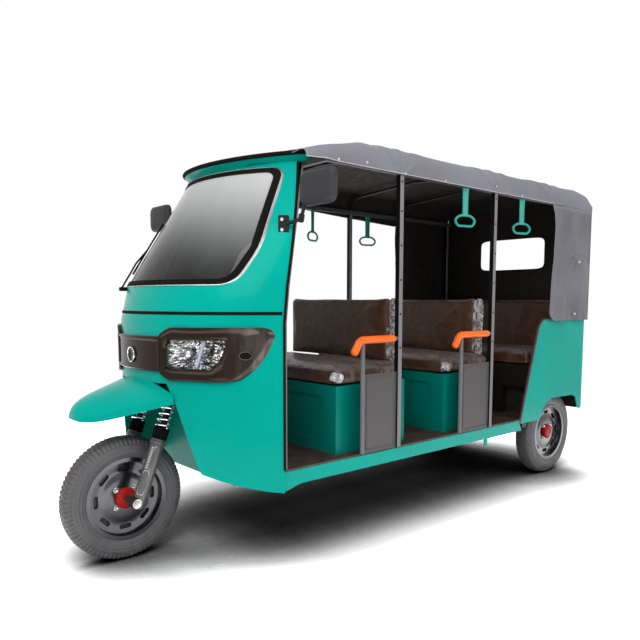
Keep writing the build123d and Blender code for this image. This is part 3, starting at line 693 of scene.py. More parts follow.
def frame_paint():
    return enamel("frame_paint", toned(colours().frame_tube, 1.5), rough=0.42, coat=0.04, dust=0.10,
                  peel=0.0006)


def rail_paint():
    """Grey frame paint, a darker tone than the guard rails' as painted shade, whose bows under the roof take
    the lining's dark tone as painted shade.
    """
    def inner(tree):
        # painted shade: the parts above the rail, the bows under the roof, take the lining's dark tone
        return maths(tree, "GREATER_THAN", place_part(tree, 2), RAIL_Z + 0.0245)
    return enamel("rail_paint", toned(colours().frame_tube, 0.9), rough=0.42, coat=0.04, dust=0.05,
                  inner=inner)


def pillar_paint():
    """Grey frame paint, painted near black down each pillar's front face as painted shade."""
    def inner(tree):
        # painted shade: faces turned to the front take a near black tone
        return maths(tree, "LESS_THAN", facing(tree, 1), -0.5)
    return enamel("pillar_paint", toned(colours().frame_tube, 2.2), rough=0.42, coat=0.0, dust=0.05,
                  inner=inner, inner_tone=(0.004, 0.004, 0.004), shine=0.10)


def guard_paint():
    return enamel("guard_paint", toned(colours().guard, 0.85), rough=0.46, coat=0.02, dust=0.05,
                  peel=0.0008, shine=0.2)


def dark_paint():
    return enamel("dark_paint", colours().dark_metal, rough=0.34, coat=0.12, dust=0.25, dust_height=0.5)


def leg_metal():
    """Grey cast metal of the fork's lower legs, a little dusty."""
    return enamel("leg_metal", (0.082, 0.080, 0.081), rough=0.36, coat=0.1, dust=0.15, shine=0.5)


def rim_paint():
    return enamel("rim_paint", (0.006, 0.006, 0.007), rough=0.12, coat=0.45, dust=0.06, dust_height=0.7,
                  peel=0.0012, shine=0.5)


def floor_paint():
    material, tree, shader = new_finish("floor_paint", Specular_IOR_Level=0.35)
    patch = spread(tree, noise(tree, 5.0, 6.0), 0.35, 0.7)
    base = blend_colours(tree, patch, colours().floor[:], toned(colours().floor, 0.45))
    grit = effect(tree, "fine_grain", Scale=900.0)
    base = blend_colours(tree, maths(tree, "MULTIPLY", grit["Mask"], 0.25), base, (0.10, 0.09, 0.08))
    feed(tree, shader, Base_Color=base, Roughness=spread(tree, patch, 0.0, 1.0, 0.45, 0.7),
         Normal=bump(tree, grit["Height"], 0.0005, 0.6))
    return material


MOULD_DUST = (0.16, 0.145, 0.125)


def moulded(name, colour, rough, grain=420.0, coat=0.0, dust=0.1, shine=0.22):
    """Moulded plastic or rubber: fine grain, patchy shine and a little dust."""
    material, tree, shader = new_finish(name, Coat_Weight=coat, Coat_Roughness=0.05, Specular_IOR_Level=shine)
    skin = effect(tree, "fine_grain", Scale=grain)
    pale = [min(1.0, 1.5 * c + 0.004) for c in colour[:3]]
    base = blend_colours(tree, maths(tree, "MULTIPLY", skin["Mask"], 0.35), colour[:3], pale)
    dusty = effect(tree, "road_dust", Amount=dust, Height=0.9)["Mask"]
    base = blend_colours(tree, dusty, base, MOULD_DUST)
    feed(tree, shader, Base_Color=base, Roughness=spread(tree, skin["Mask"], 0.0, 1.0, rough, rough + 0.12),
         Normal=bump(tree, skin["Height"], 0.0003, 0.7))
    return material


def gloss_plastic():
    """Brown-black gloss plastic, with a painted highlight, paler in stripes towards the bezels' outer ends,
    where its coat is also stronger.
    """
    material, tree, shader = new_finish("gloss_plastic", Coat_Roughness=0.10, Specular_IOR_Level=0.20,
                                        Specular_Tint=(1.0, 0.72, 0.55, 1.0))
    across = maths(tree, "ABSOLUTE", place_part(tree, 0))
    # painted highlight: paler stripes towards the outer ends of the bezels
    highlight_streaks = spread(tree, noise(tree, 26.0, 3.0, stretch=(1.0, 1.0, 0.25)), 0.35, 0.62, 0.35, 1.0)
    painted_highlight_and_coat = maths(tree, "MULTIPLY", spread(tree, across, 0.40, 0.53), highlight_streaks)
    skin = noise(tree, 70.0, 2.0)
    feed(tree, shader, Base_Color=blend_colours(tree, painted_highlight_and_coat, (0.011, 0.0065, 0.0045), (0.040, 0.032, 0.030)),
         Coat_Weight=spread(tree, painted_highlight_and_coat, 0.0, 1.0, 0.02, 0.55),
         Roughness=spread(tree, skin, 0.3, 0.7, 0.12, 0.20), Normal=bump(tree, skin, 0.0003, 0.4))
    return material


def matt_plastic():
    return moulded("matt_plastic", (0.028, 0.027, 0.030), 0.48)


def soft_rubber():
    return moulded("soft_rubber", (0.008, 0.007, 0.0065), 0.62, grain=700.0, dust=0.02, shine=0.02)


def orange_rubber():
    return moulded("orange_rubber", colours().grip, 0.34, grain=800.0, coat=0.1, dust=0.0)


# A pale line along the canopy's hem: a painted highlight where the rail's lower edge catches light.
def hem_piping():
    return moulded("hem_piping", (0.42, 0.42, 0.45), 0.5, dust=0.0)


def handle_plastic():
    return moulded("handle_plastic", colours().handle, 0.34, grain=500.0, coat=0.15, dust=0.0)


def hub_enamel():
    return enamel("hub_enamel", colours().hub, rough=0.35, coat=0.05, dust=0.08)


def tyre_rubber():
    """Tyre: grey sidewalls and a browner tread, told apart by the distance from the wheel's middle plane."""
    material, tree, shader = new_finish("tyre_rubber", Specular_IOR_Level=0.45)
    skin = effect(tree, "fine_grain", Scale=500.0)
    worn = spread(tree, noise(tree, 22.0, 4.0), 0.35, 0.7)
    base = blend_colours(tree, worn, (0.060, 0.060, 0.067), (0.088, 0.086, 0.090))
    dusty = effect(tree, "road_dust", Amount=0.25, Height=0.75)["Mask"]
    base = blend_colours(tree, dusty, base, (0.19, 0.175, 0.16))
    across = maths(tree, "ABSOLUTE", place_part(tree, 0))
    off_centre = maths(tree, "ABSOLUTE", maths(tree, "SUBTRACT", across, TRACK_HALF))
    tread = spread(tree, maths(tree, "MINIMUM", across, off_centre), 0.034, 0.044, 1.0, 0.0)
    base = blend_colours(tree, maths(tree, "MULTIPLY", tread, 0.55), base, (0.070, 0.058, 0.050))
    feed(tree, shader, Base_Color=base, Roughness=spread(tree, worn, 0.0, 1.0, 0.48, 0.68),
         Normal=bump(tree, skin["Height"], 0.0004, 0.6))
    return material


def bright_metal(name, colour, rough, scratch=0.25):
    material, tree, shader = new_finish(name, Metallic=1.0)
    lines = noise(tree, 90.0, 4.0, stretch=(1.0, 1.0, 6.0))
    base = blend_colours(tree, spread(tree, lines, 0.3, 0.8), colour, toned(colour, 0.72))
    feed(tree, shader, Base_Color=base, Roughness=spread(tree, lines, 0.3, 0.8, rough, rough + scratch),
         Normal=bump(tree, lines, 0.0002, 0.4))
    return material


def chrome():
    return bright_metal("chrome", (0.78, 0.78, 0.80), 0.08, 0.14)


def zinc():
    return bright_metal("zinc", (0.55, 0.54, 0.52), 0.3, 0.3)


def mirror_silver():
    return bright_metal("mirror_silver", (0.88, 0.89, 0.90), 0.02, 0.02)


LAMP_FACETS = (190.0, 40.0, 130.0)   # facets in a metre along X, Y and Z


def lamp_silver():
    """Pressed reflector: facets of unlike brightness, a painted reflection of other parts of the room in each
    facet's colour.
    """
    material, tree, shader = new_finish("lamp_silver", Metallic=1.0)
    place = put(tree, "ShaderNodeMapping", {0: object_place(tree), 3: LAMP_FACETS}).outputs[0]
    cells = put(tree, "ShaderNodeTexVoronoi", {"Vector": place, "Scale": 1.0, "Randomness": 1.0})
    # painted reflection: each facet's colour stands for what it would mirror
    grey = put(tree, "ShaderNodeSeparateColor", {0: cells.outputs["Color"]}).outputs[0]
    base = blend_colours(tree, spread(tree, grey, 0.45, 0.85), (0.060, 0.058, 0.056), (0.50, 0.51, 0.52))
    feed(tree, shader, Base_Color=base, Roughness=spread(tree, grey, 0.0, 1.0, 0.08, 0.22),
         Normal=bump(tree, cells.outputs["Distance"], 0.004, 0.8))
    return material


def clear_lens():
    material, tree, shader = new_finish("clear_lens", Base_Color=(0.97, 0.98, 1.0, 1.0), Alpha=0.30,
                                        Transmission_Weight=1.0, IOR=1.2, Specular_IOR_Level=0.5)
    feed(tree, shader, Roughness=spread(tree, noise(tree, 40.0, 2.0), 0.3, 0.8, 0.0, 0.03))
    return material


def screen_glass():
    """Windscreen: a painted reflection, nearly black at the foot and pale grey towards the top edge, with
    faint stripes in it that also vary its roughness as wipe marks.
    """
    material, tree, shader = new_finish("screen_glass", Alpha=0.92, Coat_Weight=0.05, Coat_Roughness=0.02,
                                        Specular_IOR_Level=0.12)
    height = place_part(tree, 2)
    across = place_part(tree, 0)
    level = maths(tree, "ADD", height, maths(tree, "MULTIPLY", across, 0.16))
    # painted reflection: the colour runs from nearly black low down to pale grey high up
    painted_reflection = maths(tree, "POWER", spread(tree, level, 1.12, 1.69), 1.6)
    wipe_and_reflection_streaks = spread(tree, noise(tree, 5.0, 2.0, stretch=(2.0, 2.0, 0.4)), 0.3, 0.8, -0.015, 0.015)
    painted_reflection = maths(tree, "ADD", painted_reflection, wipe_and_reflection_streaks, clamp=True)
    base = blend_colours(tree, painted_reflection, (0.014, 0.015, 0.015), (0.56, 0.57, 0.57))
    feed(tree, shader, Base_Color=base, Roughness=spread(tree, wipe_and_reflection_streaks, -0.015, 0.015, 0.03, 0.07))
    return material


DIAMONDS = 520.0              # radians of the tail lamps' diamond pattern in a metre


def red_lens():
    """Tail lamp lens: a small diamond pattern under clear red plastic."""
    material, tree, shader = new_finish("red_lens", Roughness=0.2, Coat_Weight=0.2, Coat_Roughness=0.04,
                                        Specular_IOR_Level=0.15)
    x, z = place_part(tree, 0), place_part(tree, 2)
    waves = []
    for operation in ("ADD", "SUBTRACT"):
        turns = maths(tree, "MULTIPLY", maths(tree, operation, x, z), DIAMONDS)
        waves.append(maths(tree, "SINE", turns))
    crossed = maths(tree, "MULTIPLY", *waves)
    base = blend_colours(tree, spread(tree, crossed, -1.0, 1.0), (0.22, 0.004, 0.004), (0.65, 0.02, 0.015))
    feed(tree, shader, Base_Color=base, Normal=bump(tree, crossed, 0.0012, 0.8))
    return material


def lining():
    """Dark coated cloth, seen from inside."""
    material, tree, shader = new_finish("lining", Specular_IOR_Level=0.2)
    skin = effect(tree, "fine_grain", Scale=350.0)
    base = blend_colours(tree, skin["Mask"], colours().lining[:], toned(colours().lining, 1.7))
    feed(tree, shader, Base_Color=base, Roughness=spread(tree, skin["Mask"], 0.0, 1.0, 0.7, 0.85),
         Normal=bump(tree, skin["Height"], 0.0004, 0.5))
    return material


def canopy_cloth():
    """Coated cloth: a weave under a soft sheen, paler on raised creases, darker in patches below the rail."""
    material, tree, shader = new_finish("canopy_cloth", Sheen_Weight=0.10, Sheen_Roughness=0.5,
                                        Specular_IOR_Level=0.15)
    weave = effect(tree, "cloth_weave", Threads=2600.0)
    patch = spread(tree, noise(tree, 2.2, 6.0), 0.3, 0.75)
    base = blend_colours(tree, patch, colours().canopy[:], toned(colours().canopy, 0.80))
    worn = effect(tree, "edge_wear", Amount=0.35, Scale=12.0)["Mask"]
    base = blend_colours(tree, worn, base, (0.42, 0.42, 0.46))
    base = blend_colours(tree, maths(tree, "MULTIPLY", weave["Slub"], 0.25), base, (0.16, 0.16, 0.19))
    # below the rail the cloth turns darker in patches
    hanging = spread(tree, place_part(tree, 2), RAIL_Z - 0.03, RAIL_Z - 0.005, 1.0, 0.0)
    darker_patches = spread(tree, noise(tree, 5.0, 5.0, stretch=(1.0, 1.0, 0.5)), 0.30, 0.68, 0.25, 0.75)
    base = blend_colours(tree, maths(tree, "MULTIPLY", hanging, darker_patches), base, (0.105, 0.104, 0.110))
    fine = bump(tree, weave["Height"], 0.0003, 0.5)
    feed(tree, shader, Base_Color=base, Roughness=spread(tree, patch, 0.0, 1.0, 0.55, 0.72),
         Normal=bump(tree, noise(tree, 16.0, 5.0), 0.004, 0.35, under=fine))
    return material


def wrapped_leather():
    """Brown grained leather under clear film, bunched and silver at the pads' ends, with painted glints on
    the film's ridges, a painted hazy grey reflection on faces that look up and painted highlights in pale
    folds there.
    """
    material, tree, shader = new_finish("wrapped_leather", Coat_Weight=0.06, Coat_Roughness=0.12,
                                        Specular_IOR_Level=0.22)
    skin = effect(tree, "fine_grain", Scale=330.0)
    film = effect(tree, "film_crinkle", Scale=6.0)
    small = effect(tree, "film_crinkle", Scale=24.0)
    tone = blend_colours(tree, skin["Mask"], colours().leather[:], toned(colours().leather, 1.6))
    # painted highlight: the film's ridges are paler, as glints
    painted_glint = maths(tree, "MULTIPLY", spread(tree, film["Ridge"], 0.6, 1.0), 0.05)
    tone = blend_colours(tree, painted_glint, tone, (0.30, 0.25, 0.22))
    # painted reflection: faces that look up turn hazy grey, in patches
    reflection_haze = spread(tree, noise(tree, 8.0, 5.0), 0.30, 0.62, 0.25, 0.95)
    top_reflection = maths(tree, "MULTIPLY", spread(tree, facing(tree, 2), 0.45, 0.85), reflection_haze)
    tone = blend_colours(tree, top_reflection, tone, (0.150, 0.128, 0.130))
    # painted highlights: pale folds on the faces that look up
    folds = spread(tree, noise(tree, 13.0, 5.0, stretch=(1.0, 2.2, 1.0)), 0.60, 0.70)
    bright = maths(tree, "MULTIPLY", folds, top_reflection)
    tone = blend_colours(tree, maths(tree, "MULTIPLY", bright, 0.5), tone, (0.42, 0.40, 0.42))
    end = spread(tree, maths(tree, "ABSOLUTE", facing(tree, 0)), 0.55, 0.85)
    backs = spread(tree, place_part(tree, 2), 0.79, 0.82, 0.12, 0.85)
    bunches = spread(tree, noise(tree, 34.0, 4.0, stretch=(1.0, 1.0, 0.4)), 0.44, 0.60)
    silver = maths(tree, "MULTIPLY", end, bunches)
    tone = blend_colours(tree, maths(tree, "MULTIPLY", silver, backs), tone, (0.60, 0.60, 0.62))
    creases = maths(tree, "ADD", film["Height"], maths(tree, "MULTIPLY", small["Height"], 0.25))
    feed(tree, shader, Base_Color=tone, Roughness=spread(tree, skin["Mask"], 0.0, 1.0, 0.34, 0.50))
    feed(tree, shader, Normal=bump(tree, creases, 0.0016, 0.5, under=bump(tree, skin["Height"], 0.0004, 0.5)))
    return material


def silver_film():
    """Bunched clear film at the seats' ends, crumpled, with painted glints that make it bright in patches."""
    material, tree, shader = new_finish("silver_film", Roughness=0.25, Coat_Weight=0.8, Coat_Roughness=0.08)
    film = effect(tree, "film_crinkle", Scale=45.0)
    # painted glints: pale and dark patches in the film's colour
    glints = spread(tree, noise(tree, 60.0, 4.0), 0.42, 0.62)
    base = blend_colours(tree, glints, (0.20, 0.17, 0.16), (0.62, 0.61, 0.63))
    feed(tree, shader, Base_Color=base, Normal=bump(tree, film["Height"], 0.003, 1.0))
    return material


def pale_line():
    return moulded("pale_line", (0.75, 0.75, 0.76), 0.4, dust=0.0)


def divider_grey():
    return moulded("divider_grey", (0.30, 0.31, 0.40), 0.25, dust=0.0, coat=0.3)


def trim_brown():
    return moulded("trim_brown", (0.055, 0.016, 0.010), 0.4, dust=0.1)


SLOT_FINISHES = {
    "teal_paint": (body_paint, well_paint, dark_inside_body_paint, bench_paint),
    "grey_frame": (frame_paint, rail_paint, pillar_paint, pale_line),
    "grey_panel": (guard_paint,),
    "dark_paint": (dark_paint, leg_metal, rim_paint),
    "floor_brown": (floor_paint,),
    "black_plastic": (gloss_plastic,),
    "matt_plastic": (matt_plastic,),
    "rubber_black": (soft_rubber, trim_brown),
    "orange_grip": (orange_rubber,),
    "handle_teal": (handle_plastic,),
    "red_hub": (hub_enamel,),
    "tyre_rubber": (tyre_rubber,),
    "spring_chrome": (chrome, zinc),
    "mirror_glass": (mirror_silver,),
    "lamp_reflector": (lamp_silver, divider_grey),
    "clear_lens": (clear_lens,),
    "screen_glass": (screen_glass,),
    "lamp_red": (red_lens,),
    "canopy_fabric": (canopy_cloth, lining, hem_piping),
    "seat_leather": (wrapped_leather, silver_film),
}
FINISHES = {f.__name__: f for group in SLOT_FINISHES.values() for f in group}


def finish(name):
    """The material of that name, built when it is first asked for."""
    if name not in built_finishes:
        built_finishes[name] = FINISHES[name]()
    return built_finishes[name]


# ------------------------------------------------------------------ solids that stay, or get a smooth copy
PLAIN_NODES = {
    "floor_pan": "floor_paint", "chassis_frame": "dark_paint", "wheel_houses": "lining",
    "side_sills": "body_paint", "guard_panels": "guard_paint",
}
SMOOTH_NODES = {
    "roof_cap": "body_paint", "front_fender": "body_paint", "wheel_well": "well_paint",
    "bench_bases": "bench_paint", "rear_body": "dark_inside_body_paint", "dashboard": "matt_plastic",
    "wiper": "soft_rubber",
    "tube_frame": "rail_paint", "pillars": "pillar_paint", "guard_rails": "frame_paint",
    "armrest_grips": "orange_rubber", "rear_axle": "dark_paint", "leaf_springs": "dark_paint",
    "rim_front": "rim_paint", "rim_rear_left": "rim_paint", "rim_rear_right": "rim_paint",
    "hub_front": "hub_enamel", "hub_rear_left": "hub_enamel", "hub_rear_right": "hub_enamel",
    "fork_crown": "dark_paint", "fork_legs": "dark_paint", "handlebar": "dark_paint",
    "tail_lamps": "red_lens", "mirror_glasses": "mirror_silver",
}
CAB_NODES = {   # finish, then how far the outer and the inner face lie out of the skin
    "cab_shell": ("body_paint", (0.0, -0.006)), "windscreen_glass": ("screen_glass", (0.003, -0.003)),
    "windscreen_seal": ("soft_rubber", (0.007, -0.005)),
    "headlamp_lenses": ("clear_lens", (0.010, 0.006)),
}


NODE_SHARP = 32.0             # degrees
SKIN_TOLERANCE = 0.0006       # how far a face's corners may lie off the skin's formula


def node_finish(name, finish_name):
    """Gives a solid its finish and leaves its mesh alone."""
    slots = frame["nodes"][name].data.materials
    slots.clear()
    slots.append(finish(finish_name))


def node_copy(name, finish_name):
    """A copy of a solid whose corners are merged, so that round faces shade smoothly."""
    mesh = frame["nodes"][name].data.copy()
    mesh.name = name + "_surface"
    if mesh.has_custom_normals:
        mesh.attributes.remove(mesh.attributes["custom_normal"])
    merge_corners(mesh)
    mesh.materials.clear()
    mesh.materials.append(finish(finish_name))
    mesh.shade_smooth()
    mesh.set_sharp_from_angle(angle=math.radians(NODE_SHARP))
    piece = into_scene(mesh.name, mesh)
    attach(piece, body_of(frame["nodes"][name])[0])
    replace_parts(piece, name)
    return piece


def cab_copy(name, finish_name, outs):
    """A merged copy of a solid of the cab, whose skin faces take the normals of the skin's formula."""
    piece = node_copy(name, finish_name)
    mesh = piece.data
    x, y, z = (vertex_places(mesh) - SHIFT).T
    reach = np.hypot(x, cab_nose(z) + CAB_R - y)
    corner = read_values(mesh.loops, "vertex_index", 1, np.int32)[:, 0]
    normals = read_values(mesh.corner_normals, "vector", 3)
    totals = read_values(mesh.polygons, "loop_total", 1, np.int32)[:, 0]
    faced = np.repeat(read_values(mesh.polygons, "normal", 3), totals, axis=0)
    for out, sign in ((outs[0], 1.0), (outs[1], -1.0)):
        wanted = sign * cab_normals(x, z, out)[corner]
        level = np.abs(reach - (CAB_R + out))[corner] < SKIN_TOLERANCE
        same = np.einsum("ij,ij->i", wanted, faced) > 0.80
        normals[level & same] = wanted[level & same]
    mesh.normals_split_custom_set(normals.tolist())
    return piece


# ------------------------------------------------------------------ the stage
CAMERA_PLACE = (2.51035, -2.38442, 1.07008)
CAMERA_AXES = ((0.658207, 0.752835, 0.001767), (-0.073989, 0.062353, 0.995308),
               (-0.749192, 0.655250, -0.096742))


def make_camera():
    """Camera from its place and its three directions: right, up and forward."""
    data = bpy.data.cameras.new("camera")
    data.lens, data.sensor_width, data.sensor_fit = 35.958, 36.0, "HORIZONTAL"
    data.shift_x, data.shift_y = -0.00386, 0.0676
    data.clip_end = 60.0
    camera = into_scene("camera", data)
    right, up, ahead = (Vector(v) for v in CAMERA_AXES)
    turn = Matrix((right, up, -ahead)).transposed().to_4x4()
    camera.matrix_world = Matrix.Translation(CAMERA_PLACE) @ turn
    bpy.context.scene.camera = camera


def seen_plainly(tree):
    """1 where the camera, a mirror or clear glass sees the surface, and 0 for the light it gives."""
    path = put(tree, "ShaderNodeLightPath").outputs
    seen = maths(tree, "MAXIMUM", path["Is Camera Ray"], path["Is Glossy Ray"])
    return maths(tree, "MAXIMUM", seen, path["Is Transmission Ray"])


def make_world(level):
    """Even white light of the given level, pure white where it is seen."""
    world = bpy.data.worlds.new("studio")
    world.use_nodes = True
    tree = world.node_tree
    background = tree.nodes["Background"]
    background.inputs["Color"].default_value = (1.0, 1.0, 1.0, 1.0)
    tree.links.new(blend_values(tree, seen_plainly(tree), level, 1.0), background.inputs["Strength"])
    bpy.context.scene.world = world


FLOOR_SIDES = 96


def make_floor(stage):
    """A wide disc, near white where it is seen, with a painted contact shadow that darkens it close to what
    stands on it, white at its rim.
    """
    rings = np.array([0.0005, 1.0, 2.0, 3.0, 4.5, 6.5, 9.0, 14.0])
    angle = full_turn(FLOOR_SIDES)
    x, y = rings[:, None] * np.cos(angle), rings[:, None] * np.sin(angle)
    shape = surface(np.stack([x, y, np.zeros_like(x)], axis=-1), wrap_cols=True)
    mesh = bpy.data.meshes.new("studio_floor")
    fill_mesh(mesh, (shape[0] - SHIFT, shape[1], [np.arange(FLOOR_SIDES)]))
    floor = into_scene("studio_floor", mesh)
    material = bpy.data.materials.new("studio_floor")
    material.use_nodes = True
    tree = material.node_tree
    tree.nodes.remove(tree.nodes["Principled BSDF"])
    seen = seen_plainly(tree)
    open_sky = put(tree, "ShaderNodeAmbientOcclusion", {"Distance": stage.shadow_reach}, samples=12)
    # painted shadow: the seen floor is darkened by ambient occlusion near the vehicle
    shade = maths(tree, "POWER", open_sky.outputs["AO"], stage.shadow_depth)
    tone = blend_values(tree, seen, stage.floor_tone, maths(tree, "MULTIPLY", shade, stage.floor_seen))
    base = put(tree, "ShaderNodeCombineColor", {0: tone, 1: tone, 2: tone}).outputs[0]
    matt = put(tree, "ShaderNodeBsdfDiffuse", {"Color": base}).outputs[0]
    glow = put(tree, "ShaderNodeEmission", {0: (1.0, 1.0, 1.0, 1.0), 1: 1.0}).outputs[0]
    far = put(tree, "ShaderNodeVectorMath", {0: object_place(tree)}, operation="LENGTH").outputs["Value"]
    rim = maths(tree, "MULTIPLY", spread(tree, far, 2.6, 4.2), seen)
    whole = put(tree, "ShaderNodeMixShader", {0: rim, 1: matt, 2: glow})
    tree.links.new(whole.outputs[0], tree.nodes["Material Output"].inputs["Surface"])
    mesh.materials.append(material)


def make_lamp(name, place, target, size, power):
    """A soft rectangular lamp at a place, aimed at a target."""
    data = bpy.data.lights.new(name, "AREA")
    data.shape, data.size, data.size_y, data.energy = "RECTANGLE", size[0], size[1], power
    aim = (Vector(target) - Vector(place)).to_track_quat("-Z", "Y")
    into_scene(name, data).matrix_world = Matrix.Translation(place) @ aim.to_matrix().to_4x4()


# ------------------------------------------------------------------ cloth
CLOTH_THICK = 0.0026


def through(a, mid, b, t):
    """Parabola that starts at a, passes mid at half way and ends at b; t is 0..1."""
    control = 2 * mid - 0.5 * (a + b)
    t = t[..., None]
    return (1 - t) ** 2 * a + 2 * t * (1 - t) * control + t ** 2 * b


def lay_uv(piece, points):
    """UV in metres: the lengths run along both ways of a grid of points, as the cut cloth lies flat."""
    across = np.linalg.norm(np.diff(points, axis=1, prepend=points[:, :1]), axis=2).cumsum(axis=1)
    down = np.linalg.norm(np.diff(points, axis=0, prepend=points[:1]), axis=2).cumsum(axis=0)
    uv = np.stack([across, down], axis=-1).reshape(-1, 2)
    mesh = piece.data
    corner = read_values(mesh.loops, "vertex_index", 1, np.int32)[:, 0]
    layer = mesh.uv_layers.new(name="cloth")
    layer.data.foreach_set("uv", uv[corner].astype(np.float32).ravel())


def make_cloth(name, points, flip=False, flat=None, wrap=False):
    """A sheet from a grid of points, coated outside and dark inside; its flat size is given or worked out,
    but not used.
    """
    shape = surface(points, wrap_cols=wrap)
    if flip:
        shape = (shape[0], shape[1][:, ::-1], shape[2])
    piece = make_piece(name, shape, ("canopy_cloth", "lining"), outward=False, sharp=None)
    lay_uv(piece, points)
    add_modifier(piece, "thickness", "SOLIDIFY", thickness=CLOTH_THICK, offset=-1.0, use_even_offset=True,
                 use_rim=True, material_offset=1, material_offset_rim=0)
    if flat is None:
        width = np.linalg.norm(np.diff(points, axis=1), axis=2).sum(axis=1).max()
        length = np.linalg.norm(np.diff(points, axis=0), axis=2).sum(axis=0).max()
        flat = (width, length)
    return piece


CANOPY_X = RAIL_X + 0.003
LEFT_FLAP_AHEAD, RIGHT_FLAP_AHEAD = 0.206, 0.309   # front edges of the flaps, ahead of the rear axle
CURTAIN_TOP = 1.646
CREST_Z, SHOULDER_Z, SHOULDER_X = 1.785, 1.757, 0.470
# each hoop: Y, how far its crest drops, how far its foot lifts, how far its foot stands in
HOOPS = np.array([[0.572, 0.088, 0.012, 0.052], [0.640, 0.066, 0.004, 0.0], [0.700, 0.048, 0.0, 0.0],
                  [0.880, 0.004, 0.0, 0.0], [REAR_END - 0.150, 0.0, 0.0, 0.0],
                  [REAR_END - 0.050, 0.022, 0.0, 0.0], [REAR_END, 0.084, 0.0, 0.0]])
# Y of the bows, and Y and drop of the far side's hem
BOWS = np.array([0.572, 1.090, 1.817, 2.300, REAR_END - 0.040])
HEM_DROP = np.array([[0.640, 0.0], [1.400, 0.0], [1.780, 0.022], [2.270, 0.044], [2.330, 0.0], [3.0, 0.0]])


def hoop_value(y, column):
    """One column of HOOPS at the given places."""
    return np.interp(y, HOOPS[:, 0], HOOPS[:, column])


def hem_drop(y):
    """How far the far side's hem hangs below the near side's at the given places."""
    return np.interp(y, HEM_DROP[:, 0], HEM_DROP[:, 1])


def hoop_points(y, count):
    """Half hoops at the given places: an upright hem, a round shoulder and a shallow crown, foot to crest."""
    drop, lift, inset = (hoop_value(y, column) for column in (1, 2, 3))
    zero = np.zeros_like(y)
    foot = np.stack([CANOPY_X - inset, y, RAIL_Z + 0.002 + lift], axis=-1)
    hem = np.stack([CANOPY_X - inset, y, RAIL_Z + 0.048 - 0.35 * drop], axis=-1)
    side = np.stack([SHOULDER_X - 0.7 * inset, y, SHOULDER_Z - drop], axis=-1)
    crest = np.stack([zero, y, CREST_Z - drop], axis=-1)
    mid = 0.5 * (hem + side) + np.array([0.018, 0.0, 0.016])
    other = side * [-1, 1, 1]
    t = np.linspace(0, 1, 9)
    parts = [foot[:, None] + (hem - foot)[:, None] * t[None, :-1, None]]
    t = np.linspace(0, 1, 19)
    parts.append(through(hem[:, None], mid[:, None], side[:, None], t[None, :-1]))
    t = np.linspace(0, 0.5, count)
    parts.append(through(side[:, None], crest[:, None], other[:, None], t[None]))
    return np.concatenate(parts, axis=1)


def canopy_outline():
    """The roof's cloth: hoops that sag between the bows, with creases that fan out over each pillar."""
    y = np.linspace(HOOPS[0, 0] + 0.001, REAR_END - 0.001, 230)
    half = hoop_points(y, 48)
    z, along_y = half[..., 2], half[..., 1]
    high = np.clip((z - RAIL_Z - 0.03) / 0.11, 0, 1)
    inner = np.searchsorted(BOWS, y, side="right").clip(1, len(BOWS) - 1)
    share = (y - BOWS[inner - 1]) / (BOWS[inner] - BOWS[inner - 1])
    sag = np.sin(np.pi * np.clip(share, 0, 1)) ** 2
    half[..., 2] -= sizes().sag * sag[:, None] * high
    bulge = np.exp(-(((z - RAIL_Z - 0.075) / 0.03) ** 2))
    half[..., 0] -= 0.5 * sizes().sag * sag[:, None] * bulge * np.sign(np.maximum(half[..., 0], 1e-6))
    crease = np.zeros_like(z)
    for i, place in enumerate(list(PILLARS) + [REAR_END - 0.46]):
        dy = along_y - place
        dz = np.maximum(z - RAIL_Z + 0.012, 0.0) + 0.5 * np.maximum(SHOULDER_X - half[..., 0], 0)
        far, turn = np.hypot(dy, dz), np.arctan2(dy, dz)
        fan = np.sin(9.0 * turn + 1.3 * i) + 0.5 * np.sin(17.0 * turn + 2.1 * i)
        crease += fan * np.clip(far / 0.05, 0, 1) * np.exp(-far / 0.13)
    ripple = np.sin(38.0 * along_y + 5.0 * np.sin(4.1 * along_y))
    ripple = ripple * np.exp(-(((z - RAIL_Z - 0.03) / 0.035) ** 2))
    out = unit(np.cross(np.gradient(half, axis=0), np.gradient(half, axis=1)))
    outward = np.sign(np.einsum("ijk,ijk->ij", out, half - [0.0, 1.5, 1.3]))
    out *= outward[..., None] * np.array([1.0, 0.0, 1.0])
    still = np.minimum(1, np.minimum(y - y[0], y[-1] - y)[:, None] / 0.03)
    half = half + out * ((sizes().crease * crease + 0.0012 * ripple) * still + 0.0022)[..., None]
    least = CANOPY_X + 0.0018 - hoop_value(y, 3)[:, None]
    half[..., 0] = np.where(z < RAIL_Z + 0.030, np.maximum(half[..., 0], least), half[..., 0])
    whole = np.concatenate([half[:, :-1], half[:, ::-1] * [-1, 1, 1]], axis=1)
    loose = np.clip((RAIL_Z + 0.05 - whole[..., 2]) / 0.048, 0, 1) * (whole[..., 0] < 0)
    whole[..., 2] -= loose * hem_drop(y)[:, None]
    ahead = np.clip((0.640 - y) / 0.068, 0, 1)[:, None] * (whole[..., 0] < 0)
    whole[..., 0] *= 1 - 0.27 * ahead
    return whole


